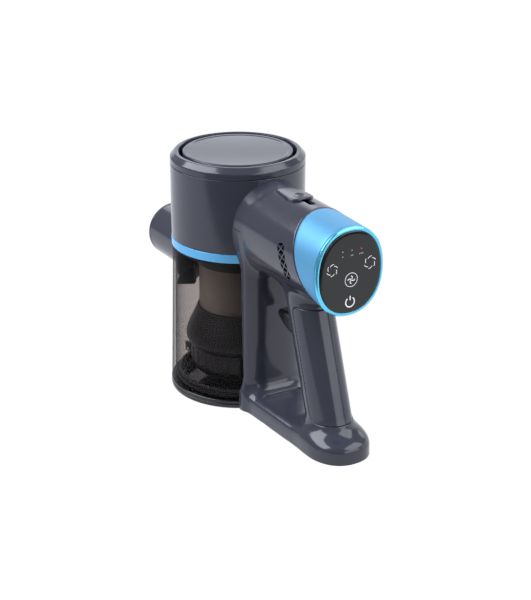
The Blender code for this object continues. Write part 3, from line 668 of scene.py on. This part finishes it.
def vent_cutters():
    """Rounded triangles between the crossed bars of both vent strips, merged where two cells meet."""
    across = np.array((4.6, 1.48))
    up = np.array((-0.43, 1)) * 3.35
    start = np.array((126.6, 177.7))
    shapes = []
    for cell in range(4):
        centre = start - 2 * up * cell
        for sign in (-1, 1):
            shapes.append([centre + sign * 0.16 * across, centre + sign * across + up * 0.82,
                           centre + sign * across * 1.06, centre + sign * across - up * 0.82])
    for cell in range(5):
        centre = start - 2 * up * (cell - 0.5)
        above = up * (0.3 if cell == 0 else 0.84)
        below = up * (0.3 if cell == 4 else 0.84)
        shapes.append([centre + across * 0.84, centre + above, centre - across * 0.84, centre - below])
    parts = []
    for side in (-1, 1):
        for shape in shapes:
            soft = rounded([(x, z, 0.45) for x, z in shape], 3)
            parts.append(loft([[(x, side * y, z) for x, z in soft] for y in (24, 42)]))
    return joined(parts)


def build_handle():
    replaced = ("barrel_shell", "strut", "base_bar", "grip_front", "grip_neck", "grip_foot_collar")
    from_field("handle_shell", shell_distance, (44, -37, -2), (197, 37, 217), 1.1, SLATE, "body",
               "slate_gloss", replaced, cutters=vent_cutters())
    from_field("grip_back", cover_distance, (108, -21, 25), (196, 21, 124), 1.0, SLATE, "body",
               "slate_gloss", ("grip_rear_cover",))


def build_trigger():
    from_field("trigger_lever", trigger_distance, (72, -9, 82), (123, 9, 107), 0.7, BLACK_GLOSS, "trigger",
               "slate_dark", ("trigger",))


def build_slider():
    """Release slider with a raised arrow head that points to the housing."""
    from_field("slider_cap", slider_distance, (73, -13, 200), (115, 13, 213), 0.6, SLATE, "slider",
               "slate_gloss", ("release_slider",))
    tip_x, ahead, half_width = 101.4, 2.5, 0.45
    arms = []
    for over in (-2.6, 2.6):
        length = math.hypot(ahead, over)
        nx, ny = -over / length * half_width, ahead / length * half_width
        ring = [(tip_x - nx, -ny), (tip_x + ahead - nx, over - ny), (tip_x + ahead + nx, over + ny),
                (tip_x + nx, ny)]
        arms.append(loft([[(x, y, z) for x, y in ring] for z in (SLIDER_TOP_Z - 2, SLIDER_TOP_Z - 0.8)]))
    piece("slider_arrow", *joined(arms), SLATE_DARK, "slider", "slate_gloss")


def sleeve_ring(t, inset, setback):
    """A ring of the sleeve: t runs from its oblique rear edge to its front edge."""
    width, height, centre, _ = (a + (b - a) * t for a, b in zip(EDGE, FRONT))
    ring = oval(0, width - inset, height - inset, centre, 2 + (FRONT_POWER - 2) * t)
    rear = EDGE_X + 0.45 + EDGE_SLOPE * (ring[:, 2] - centre)
    ring[:, 0] = rear + (SLEEVE_FRONT_X - rear) * t + setback
    return ring


def build_sleeve():
    places = [(0, 2.3, 0), (0, 0.55, 0), (0, 0.16, 0.14), (0, 0, 0.5)]
    places += [(k / 12, 0, 0) for k in range(1, 12)]
    places += [(1, 0, -0.5), (1, 0.14, -0.14), (1, 0.5, 0), (1, 2.3, 0)]
    rings = [sleeve_ring(*place) for place in places]
    piece("sleeve", *loft(rings, wrap=True), BLUE, "body", "blue_metal", ("control_sleeve",), angle=50)


def build_gap_shade():
    """Dark strip in the gap between the barrel and the sleeve: painted shade, a black piece that makes the
    gap read dark.
    """
    width, height, centre, _ = EDGE
    rows = []
    for inset, shift in ((0.9, -0.6), (0.9, 0.4), (2.4, 0.4), (2.4, -0.6)):
        row = oval(EDGE_X + shift, width - inset, height - inset, centre)
        row[:, 0] += EDGE_SLOPE * (row[:, 2] - centre)
        rows.append(row)
    # The black rubber material here paints the shade of the gap between barrel and sleeve.
    piece("sleeve_gap_shade", *loft(rows, wrap=True), RUBBER, "body", "rubber")


def front_oval(inset, x, half=FRONT):
    """An oval that runs along the front of the barrel, smaller than the sleeve by the inset."""
    return oval(x, half[0] - inset, half[1] - inset, FRONT[2], FRONT_POWER)


def build_bezel():
    outline = rounded([(0.9, 175.95, 0.2), (0.0, 176.5, 0.4), (0.0, 177.5, 0.8), (1.2, 178.75, 1.0),
                       (3.0, 178.6, 0.6), (3.42, 177.9, 0.3), (3.42, 175.95, 0)], 4, 0.1)
    rows = [front_oval(*place) for place in outline]
    piece("bezel", *loft(rows, wrap=True), BEZEL_BLUE, "body", "blue_metal", ("bezel_ring",), angle=50)


def build_panel():
    outline = [(0, 174.6), (0, PANEL_X - 0.8), (0.12, PANEL_X - 0.4), (0.4, PANEL_X - 0.12), (0.8, PANEL_X),
               (3, PANEL_X), (9, PANEL_X)]
    rows = [front_oval(inset, x, PANEL_HALF) for inset, x in outline]
    piece("panel_glass", *loft(rows), PANEL, "body", "black_gloss", ("touch_panel",), angle=40)


def stroke(path, width):
    """A thin raised line on the panel along (y, z) points."""
    path = np.asarray(path, float)
    ahead = unit(np.gradient(path, axis=0))
    side = np.stack([-ahead[:, 1], ahead[:, 0]], 1) * width / 2
    low, high = MARK_X
    return loft([[(low, *a), (high, *a), (high, *b), (low, *b)] for a, b in zip(path + side, path - side)])


def arc(centre, radius, start, end, count):
    return [on_circle(centre, radius, a) for a in np.radians(np.linspace(start, end, count))]


def dot(centre, radius):
    ring = [on_circle(centre, radius, a) for a in math.tau * np.arange(18) / 18]
    return loft([[(x, y, z) for y, z in ring] for x in MARK_X])


def build_symbols():
    """Plain symbols of the touch keys: power, fan and two speed swirls."""
    power, fan = (-0.2, 142.1), (0.5, 161.3)
    parts = [stroke(arc(power, 4.2, 128, 412, 40), 0.95),
             stroke([(power[0], power[1] + 1.6), (power[0], power[1] + 5.4)], 0.95),
             stroke(arc(fan, 5.9, 0, 357, 60), 0.42)]
    for k in range(4):
        turn = math.radians(45 + 90 * k)
        blade = ((0.5, 0), (1.6, 0.18), (2.7, 0.45), (3.5, 0.8))
        parts.append(stroke([on_circle(fan, r, turn + bend) for r, bend in blade], 0.75))
    for centre, size in (((-18.0, 172.9), 5.0), ((18.4, 172.8), 5.3)):
        for k in range(6):
            turn = 60 * k + 15
            swirl = [on_circle(centre, size * (1.05 - 0.28 * t), math.radians(turn + 46 * t))
                     for t in np.linspace(0, 1, 6)]
            parts.append(stroke(swirl, 0.48))
    piece("panel_symbols", *joined(parts), MARK_WHITE, "body", "black_gloss")


def build_levels():
    """Three level lights, the last one red, over short bars that count one, two and three."""
    levels = [dot((-8.3, 186.6), 0.55), dot((0.5, 186.5), 0.55)]
    for index, y in enumerate((-8.3, 0.6, 9.6)):
        for k in range(index + 1):
            middle = y + (k - index / 2) * 1.5
            levels.append(stroke([(middle - 0.45, 182.4), (middle + 0.45, 182.4)], 1.0))
    piece("panel_levels", *joined(levels), MARK_DIM, "body", "black_gloss")
    piece("panel_light", *dot((9.7, 186.5), 0.6), MARK_RED, "body", "black_gloss")


# ---------------------------------------------------------------- housing, cap and cup

def build_housing():
    low, high, inner = BAND_HIGH_Z + 0.4, HOUSING_HIGH_Z, HOUSING_R - 3
    turned("housing", [(22, low, 0.3), (HOUSING_R, low, 0.7), (HOUSING_R, high, 0.45), (inner, high, 0.2),
                       (inner, low + 3, 1), (22, low + 3, 0.3)],
           SLATE, "body", "slate_gloss", ("motor_housing",))


def build_band():
    low, high, outer = BAND_LOW_Z, BAND_HIGH_Z, HOUSING_R + 0.1
    turned("band", [(55.5, low, 0.2), (outer, low, 0.5), (outer, high, 0.5), (55.5, high, 0.2)],
           BAND_BLUE, "body", "blue_metal", ("blue_band",))


def build_cap():
    low = HOUSING_HIGH_Z + 0.45
    turned("cap_collar", [(52.3, low, 0.2), (HOUSING_R, low, 0.4), (HOUSING_R, 219.2, 2.2),
                          (55.7, 223.7, 1.4), (53.6, 224.0, 0.7), (52.3, 223.3, 0.4)],
           SLATE, "cap", "slate_gloss", ("cap_ring",))


def build_top_disc():
    """Lid disc inside the cap ring: a rounded rim round a shallow dish."""
    rim = rounded([(0, 219, 0), (48.8, 219, 0.3), (48.8, 223.1, 1.0), (47.5, 223.85, 0.9), (45.4, 223.7, 1.2),
                   (44.2, 223.19, 0.8), (43.2, 223.1, 0)])
    dish = [(r, 221.3 + 1.9 * (r / 44.3) ** 2) for r in np.linspace(43.2, 0, 14)]
    points, faces = lathe([tuple(p) for p in rim[:-1]] + dish)
    piece("lid_disc", points, faces, SLATE, "filter_unit", "slate_gloss", ("top_disc",))


def build_exhaust_filter():
    section = rounded([(21, 206.2, 0.4), (46.8, 206.2, 0.4), (46.8, 218.6, 0.4), (21, 218.6, 0.4)])
    piece("pleated_filter", *lathe(section, 720), PAPER, "filter_unit", "filter_paper", ("exhaust_filter",))


def bore_cutter(radius, start_x, end_x, z):
    ring = [on_circle((0, z), radius, a) for a in math.tau * np.arange(64) / 64]
    return loft([[(x, *spot) for spot in ring] for x in (start_x, end_x)])


def saddle_distance(p):
    """Curved plate that hugs the cup and flares out into the nozzle."""
    x, y, z = p.T
    radius = np.hypot(x, y)
    low = np.clip((SADDLE_Z - z) / 22, -1, 1)
    plate = smooth_max(rounded_box(y, z, (0, SADDLE_Z), (37.6, 21.8), 12), radius - 64.1 + low, 3)
    pipe = common(np.hypot(y, z - NOZZLE_Z) - NOZZLE_R, NOZZLE_ROOT_X - x)
    slope = (CUP_FOOT_R - CUP_TOP_R) / (CUP_HIGH_Z - CUP_LOW_Z)
    against_cup = CUP_TOP_R + 0.25 + slope * (CUP_HIGH_Z - z) - radius
    bore = np.hypot(y, z - INLET_Z) - INLET_R
    return common(smooth_min(plate, pipe, 9), NOZZLE_ROOT_X - x, np.abs(z - SADDLE_Z) - 27.5, against_cup,
                  x + 38, -bore)


def build_cup_wall():
    """Clear wall of the dust cup with the inlet bored through it."""
    wall = turned("cup_shell", [(CUP_FOOT_R - 3.4, CUP_LOW_Z, 0.4), (CUP_FOOT_R, CUP_LOW_Z, 0.4),
                                (CUP_TOP_R, CUP_HIGH_Z, 0.4), (CUP_TOP_R - 2.4, CUP_HIGH_Z, 0.4)],
                  SMOKE, "dust_cup", "smoke_clear", ("cup_wall",))
    subtract(wall, *bore_cutter(INLET_R, -62, -50, INLET_Z))
    soften(wall.data)


def build_nozzle():
    """Suction nozzle with a groove near its mouth, and the saddle that joins it to the cup."""
    groove, length = 0.3, 52.8
    outline = [(22, 0, 0.3), (NOZZLE_R, 0, 0.3), (NOZZLE_R, 49.4, 0.2), (NOZZLE_R - groove, 49.7, 0.2),
               (NOZZLE_R - groove, 50.3, 0.2), (NOZZLE_R, 50.6, 0.2), (NOZZLE_R, length, 0.9),
               (22.8, length, 0.8), (22.8, 40, 0.4), (22, 39.2, 0.4)]
    points, faces = lathe(rounded(outline, 4))
    placed = np.stack([NOZZLE_ROOT_X - 0.1 - points[:, 2], points[:, 1], NOZZLE_Z + points[:, 0]], 1)
    piece("nozzle_tube", placed, faces, SLATE, "dust_cup", "slate_gloss", ("nozzle_pipe",))
    from_field("nozzle_base", saddle_distance, (-78, -42, 82), (-36, 42, 141), 1.0, SLATE, "dust_cup",
               "slate_gloss", ("nozzle_saddle",))


def build_duct():
    """Curved channel inside the cup wall, open towards the inlet."""
    back, front = 56.3, 38.5
    section = [(back, -17.5, 0.5), (back, -15.5, 0.5), (front + 2, -15.5, 1.0), (front + 2, 15.5, 1.0),
               (back, 15.5, 0.5), (back, 17.5, 0.5), (front, 17.5, 2.5), (front, -17.5, 3.5)]
    points, faces = lathe(rounded([(r, INLET_Z + rise, corner) for r, rise, corner in section], 4), 72,
                          math.radians(152), math.radians(90))
    piece("duct", points, faces, CYCLONE, "dust_cup", "slate_dark", ("inlet_duct",))


def build_screen():
    """Metal mesh cylinder and the dark collar that holds its upper end."""
    edge, floor_z = SCREEN_HIGH_Z + 0.2, 134.3
    turned("screen_collar", [(30, 133, 0.5), (SCREEN_R + 0.3, edge, 0.3), (SCREEN_R + 2.2, edge, 0.6),
                             (SCREEN_R + 2.2, floor_z, 1.5), (56.3, floor_z, 0.4), (56.3, 138.2, 0.4),
                             (30, 138.2, 0.4)], CYCLONE, "dust_cup", "slate_dark", ("filter_collar",))
    inner = SCREEN_R - 1.2
    turned("screen", [(inner, 66.6, 0.1), (SCREEN_R, 66.6, 0.1), (SCREEN_R, SCREEN_HIGH_Z, 0.1),
                      (inner, SCREEN_HIGH_Z, 0.1)], MESH_METAL, "dust_cup", "mesh_metal", ("mesh_filter",))


def build_skirt():
    """Cone below the screen, rounded at its widest, and the ribbed neck under it."""
    neck_r, ribs = 43.5, 24
    cone = [(36.25, 77.9), (36.5, 78.2), (37.4, 78.0), (38.4, 75.6), (40.5, 71.0), (42.9, 65.8), (45.3, 60.6),
            (46.9, 56.6), (48.1, 52.9), (48.6, 49.8), (48.3, 47.2), (47.0, 44.9), (45.2, 43.0), (43.9, 41.2)]
    neck = [(neck_r, 39.4)] + [(neck_r, z) for z in np.linspace(37.5, 25, 8)]
    neck += [(43.2, 23.6), (40, 17.2), (39.4, 17)]
    inside = [(37.6, 17), (37.5, 18), (37.5, 40), (20, 60)]
    points, faces = lathe([(20, 66), (36.2, 66)] + cone + neck + inside, 12 * ribs)
    x, y, z = points.T
    rise = np.clip((np.cos(ribs * np.arctan2(y, x)) - 0.75) * 6, 0, 1)
    on_neck = (z < 39) & (z > 20) & (np.hypot(x, y) > neck_r - 1.5)
    points[:, :2] *= np.where(on_neck, 1 + 0.022 * rise, 1)[:, None]
    piece("skirt", points, faces, CYCLONE, "dust_cup", "slate_dark", ("cyclone_skirt",), angle=50)


def bevelled(node, name, material, body, width=0.5):
    """A copy of a small CAD piece with softened edges."""
    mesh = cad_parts[node].data.copy()
    bm = bmesh.new()
    bm.from_mesh(mesh)
    bmesh.ops.remove_doubles(bm, verts=bm.verts, dist=2e-6)
    bmesh.ops.dissolve_limit(bm, angle_limit=math.radians(1), verts=bm.verts, edges=bm.edges)
    sharp = [e for e in bm.edges if len(e.link_faces) == 2 and e.calc_face_angle(0) > math.radians(40)]
    bmesh.ops.bevel(bm, geom=sharp, offset=width * MM, segments=3, affect="EDGES", profile=0.5,
                    clamp_overlap=True)
    bm.to_mesh(mesh)
    bm.free()
    mesh.materials.clear()
    mesh.materials.append(material)
    soften(mesh)
    ride_along(name, mesh, body, (node,))


def middle_of(node):
    """Centre of a CAD node's box, in millimetres."""
    low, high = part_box(node)
    return (low + high) / 2 / MM


def build_lid():
    """Bottom lid with a grooved rim outside and an upright rim inside, and its seal."""
    outer, top, inner = LID_R, 7.7, 53.6
    turned("bottom_lid", [(0, 0, 0), (44.5, 0, 0.2), (45, 0.6, 0.2), (47.5, 0.6, 0.2), (48, 0, 0.2),
                          (outer - 0.8, 0, 0.8), (outer, 0.9, 0.6), (outer, 3.7, 0.5),
                          (outer - 0.9, 4.2, 0.2), (outer - 0.9, 4.9, 0.2), (outer, 5.4, 0.5),
                          (outer - 0.1, 7.0, 0.8), (outer - 1.4, top, 0.5), (56.4, top, 0.3),
                          (56.2, 15.5, 0.8), (53.8, 15.5, 0.8), (inner, 4, 1.5), (0, 4, 0)],
           BLACK_GLOSS, "lid", "black_gloss")
    build_knuckle()
    back, face, lip = 56.5, 57.9, 58.6
    turned("seal_ring", [(back, 8.5, 0.3), (face, 8.5, 0.5), (face, 9.4, 0.2), (lip, 10.2, 0.4),
                         (face, 11, 0.2), (face, 11.9, 0.5), (back, 11.9, 0.3)],
           RUBBER, "lid", "rubber", ("lid_seal",))


def build_knuckle():
    """The lid's arm round the hinge pin, with its side faces softened."""
    x, y, pin_z = middle_of("hinge_pin")
    azimuth, pin_r, eye = math.atan2(y, x), math.hypot(x, y), 3.2
    top = [on_circle((pin_r, pin_z), eye, a) for a in np.linspace(0, math.pi, 13)]
    side = [(58, 2.2), (69, 2.2), (pin_r + eye, 3.0)] + top + [(pin_r - eye, 6.8), (58, 6.2)]
    arm = []
    for across, shrink in ((-6.9, 0.97), (-6.5, 1.0), (6.5, 1.0), (6.9, 0.97)):
        ring = [(64 + (r - 64) * shrink, 7 + (z - 7) * shrink) for r, z in side]
        arm.append([(r * math.cos(azimuth) - across * math.sin(azimuth),
                     r * math.sin(azimuth) + across * math.cos(azimuth), z) for r, z in ring])
    piece("lid_knuckle", *loft(arm), BLACK_GLOSS, "lid", "black_gloss", ("cup_lid",))


def build_brackets():
    bevelled("hinge_bracket", "hinge_ears", BLACK_MATT, "dust_cup")
    bevelled("latch_bracket", "latch_ears", BLACK_MATT, "dust_cup")
    bevelled("lid_latch", "latch_lever", SLATE, "latch", 0.6)


def rectangle(x, y, dx, dy, z):
    return [(x - dx, y - dy, z), (x + dx, y - dy, z), (x + dx, y + dy, z), (x - dx, y + dy, z)]


def build_underside():
    """Cross-head screws and the plate that they hold under the base bar."""
    points, faces = lathe(rounded([(0, 0.3, 0), (2.95, 0.3, 0.3), (2.95, 1.0, 0.1), (1.5, 1.0, 0.1),
                                   (1.5, 9, 0.2), (0, 9, 0)]), 48)
    for number in range(1, 5):
        node = f"base_screw_{number}"
        x, y, _ = middle_of(node)
        screw = piece(f"screw_{number}", points + (x, y, 0), faces, STEEL, "body", "steel", (node,))
        for dx, dy in ((1.7, 0.35), (0.35, 1.7)):
            subtract(screw, *loft([rectangle(x, y, dx, dy, z) for z in (-1, 0.85)]))
        screw.data.set_sharp_from_angle(angle=math.radians(35))
    bevelled("base_cover", "foot_plate", SLATE_DARK, "body", 0.3)


def dress_cad():
    """Procedural materials for the CAD pieces that stay."""
    nodes_of = {
        STEEL: ("motor_can", "bearing_top", "bearing_bottom", "motor_shaft", "impeller", "hinge_pin",
                "latch_pin"),
        BLACK_MATT: ("cell_holder_front", "cell_holder_rear", "trigger_switch", "charge_socket"),
        BOARD: ("motor_board", "control_board", "grip_board"),
        WRAP: tuple(f"battery_cell_{k}" for k in range(1, 7)),
        RUBBER: ("motor_mount",), COPPER: ("stator",), MAGNET: ("rotor_magnet",)}
    for material, names in nodes_of.items():
        for name in names:
            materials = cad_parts[name].data.materials
            materials.clear()
            materials.append(material)


# ---------------------------------------------------------------- studio

def glow(name, stops):
    """Light of a studio card: (height in metres, radiance) stops, or one even radiance."""
    made, tree = new_material(name)
    strength = stops
    if not isinstance(stops, float):
        whole = 4.0             # the curve holds heights and radiances as parts of this
        height = tree.maths("DIVIDE", tree.xyz()[2], whole)
        curve = tree.add("ShaderNodeFloatCurve", {"Value": height})
        points = curve.mapping.curves[0].points
        for index, stop in enumerate(stops):
            spot = [value / whole for value in stop]
            if index < 2:
                points[index].location = spot
            else:
                points.new(*spot)
        for point in points:
            point.handle_type = "VECTOR"
        curve.mapping.update()
        strength = tree.maths("MULTIPLY", curve.outputs["Value"], whole)
    light = tree.add("ShaderNodeEmission", {"Color": (*STUDIO_WHITE, 1), "Strength": strength})
    tree.surface(light.outputs["Emission"])
    return made


def card(name, corners, material, camera=False, diffuse=False):
    """A flat studio card seen in reflections, and hidden from the camera unless asked."""
    mesh = bpy.data.meshes.new(name)
    mesh.from_pydata([tuple(c) for c in corners], [], [tuple(range(len(corners)))])
    mesh.materials.append(material)
    obj = add_to_scene(name, mesh)
    obj.visible_camera = camera
    obj.visible_diffuse = diffuse
    obj.visible_transmission = camera
    obj.visible_shadow = False
    return obj


def spot_at(towards, rightwards, z=0.0):
    """A place in metres, given towards the camera and to its right."""
    return TOWARDS * towards + RIGHTWARDS * rightwards + Vector((0, 0, z))


def upright(start, end, low, high):
    """Corners of an upright card between two spots of the floor."""
    low, high = Vector((0, 0, low)), Vector((0, 0, high))
    return [start + low, end + low, end + high, start + high]


def softbox(name, azimuth, elevation, distance, width, height, radiance):
    """Rectangular area light that faces the object; power follows from the radiance."""
    a, e = math.radians(azimuth), math.radians(elevation)
    away = Vector((math.cos(e) * math.cos(a), math.cos(e) * math.sin(a), math.sin(e)))
    light = bpy.data.lights.new(name, "AREA")
    light.shape = "RECTANGLE"
    light.size, light.size_y = width, height
    light.energy = radiance * math.pi * width * height
    light.color = STUDIO_WHITE
    obj = add_to_scene(name, light)
    obj.location = OBJECT_MIDDLE + away * distance
    obj.rotation_euler = away.to_track_quat("Z", "Y").to_euler()
    obj.visible_camera = False


def build_floor():
    """Pale floor, almost clear, so that what hangs below it can be seen."""
    made, tree = new_material("pale_floor")
    matt = tree.add("ShaderNodeBsdfDiffuse", {"Color": (0.30, 0.30, 0.305, 1)})
    light = tree.add("ShaderNodeEmission", {"Strength": 0.86})
    both = tree.add("ShaderNodeAddShader", {0: matt.outputs["BSDF"], 1: light.outputs["Emission"]})
    clear = tree.add("ShaderNodeBsdfTransparent", {})
    mix = tree.add("ShaderNodeMixShader", {"Fac": 0.95, 1: both.outputs["Shader"], 2: clear.outputs["BSDF"]})
    tree.surface(mix.outputs["Shader"])
    floor = card("floor", rectangle(0, 0, 9, 9, -0.0005), made, camera=True)
    floor.visible_glossy = False
    floor.visible_shadow = True


def build_cards():
    """Glowing cards that the glossy parts reflect, and the light that comes up from the floor."""
    table = [spot_at(towards, rightwards, -0.0007)
             for towards, rightwards in ((0.42, -1.05), (0.42, 1.6), (-2.6, 1.6), (-2.6, -1.05))]
    card("table_glow", table, glow("table_light", 1.15))
    bounce = card("floor_bounce", rectangle(0, 0, 3, 3, -0.0009), glow("bounce_light", 0.5), diffuse=True)
    bounce.visible_glossy = False
    card("backdrop_glow", upright(spot_at(-2.6, -1.6), spot_at(-2.6, 2.6), 0, 2.3),
         glow("backdrop_light", ((0.0, 1.2), (1.0, 1.1), (1.3, 1.6), (1.55, 2.8), (1.8, 2.8), (2.3, 0.6))))
    card("side_glow", upright(spot_at(-2.6, 2.6), spot_at(0.35, 2.2), 0, 1.4),
         glow("side_light", ((0.0, 1.5), (0.5, 1.5), (1.2, 0.8), (1.4, 0.3))))
    card("low_right_glow", upright(spot_at(1.62, 0.75), spot_at(0.6, 1.9), 0.12, 1.1),
         glow("low_right_light", 2.7))


def build_world():
    """Soft grey surroundings for light and reflections, and plain white where the camera looks past."""
    world = bpy.data.worlds.new("studio")
    bpy.context.scene.world = world
    tree = ShaderTree(world)
    height = tree.spread(tree.xyz("Generated")[2], 0.0, 1.0, -1.0, 1.0)
    ramp = tree.add("ShaderNodeValToRGB", {"Fac": height})
    elements = ramp.color_ramp.elements
    elements[0].position, elements[0].color = 0.42, (0.2, 0.2, 0.215, 1)
    elements[1].position, elements[1].color = 1.0, (0.42, 0.42, 0.43, 1)
    elements.new(0.48).color = (0.36, 0.36, 0.37, 1)
    seen = tree.add("ShaderNodeLightPath", {}).outputs["Is Camera Ray"]
    colour = tree.blend(seen, ramp.outputs["Color"], (1, 1, 1))
    back = tree.add("ShaderNodeBackground", {"Color": colour})
    tree.add("ShaderNodeOutputWorld", {"Surface": back.outputs["Background"]})


def build_camera():
    camera = bpy.data.cameras.new("camera")
    camera.lens = CAMERA_LENS
    camera.clip_end = 50.0
    obj = add_to_scene("camera", camera)
    right = CAMERA_RIGHT.normalized()
    back = right.cross(CAMERA_UP).normalized()
    turn = Matrix((right, back.cross(right), back)).transposed().to_4x4()
    obj.matrix_world = Matrix.Translation(CAMERA_PLACE) @ turn
    bpy.context.scene.camera = obj


def build_object():
    for build in (build_handle, build_trigger, build_slider, build_sleeve, build_gap_shade, build_bezel,
                  build_panel, build_symbols, build_levels, build_housing, build_band, build_cap,
                  build_top_disc, build_exhaust_filter, build_cup_wall, build_nozzle, build_duct,
                  build_screen, build_skirt, build_lid, build_brackets, build_underside, dress_cad):
        build()


def build_studio():
    build_floor()
    build_cards()
    softbox("softbox_left", 245, 46, 1.7, 1.7, 1.15, 6.2)
    softbox("softbox_right", 45, 46, 1.9, 1.7, 1.15, 3.4)
    build_world()
    build_camera()
    view = bpy.context.scene.view_settings
    view.view_transform = "Standard"
    view.look = "None"


build_object()
build_studio()
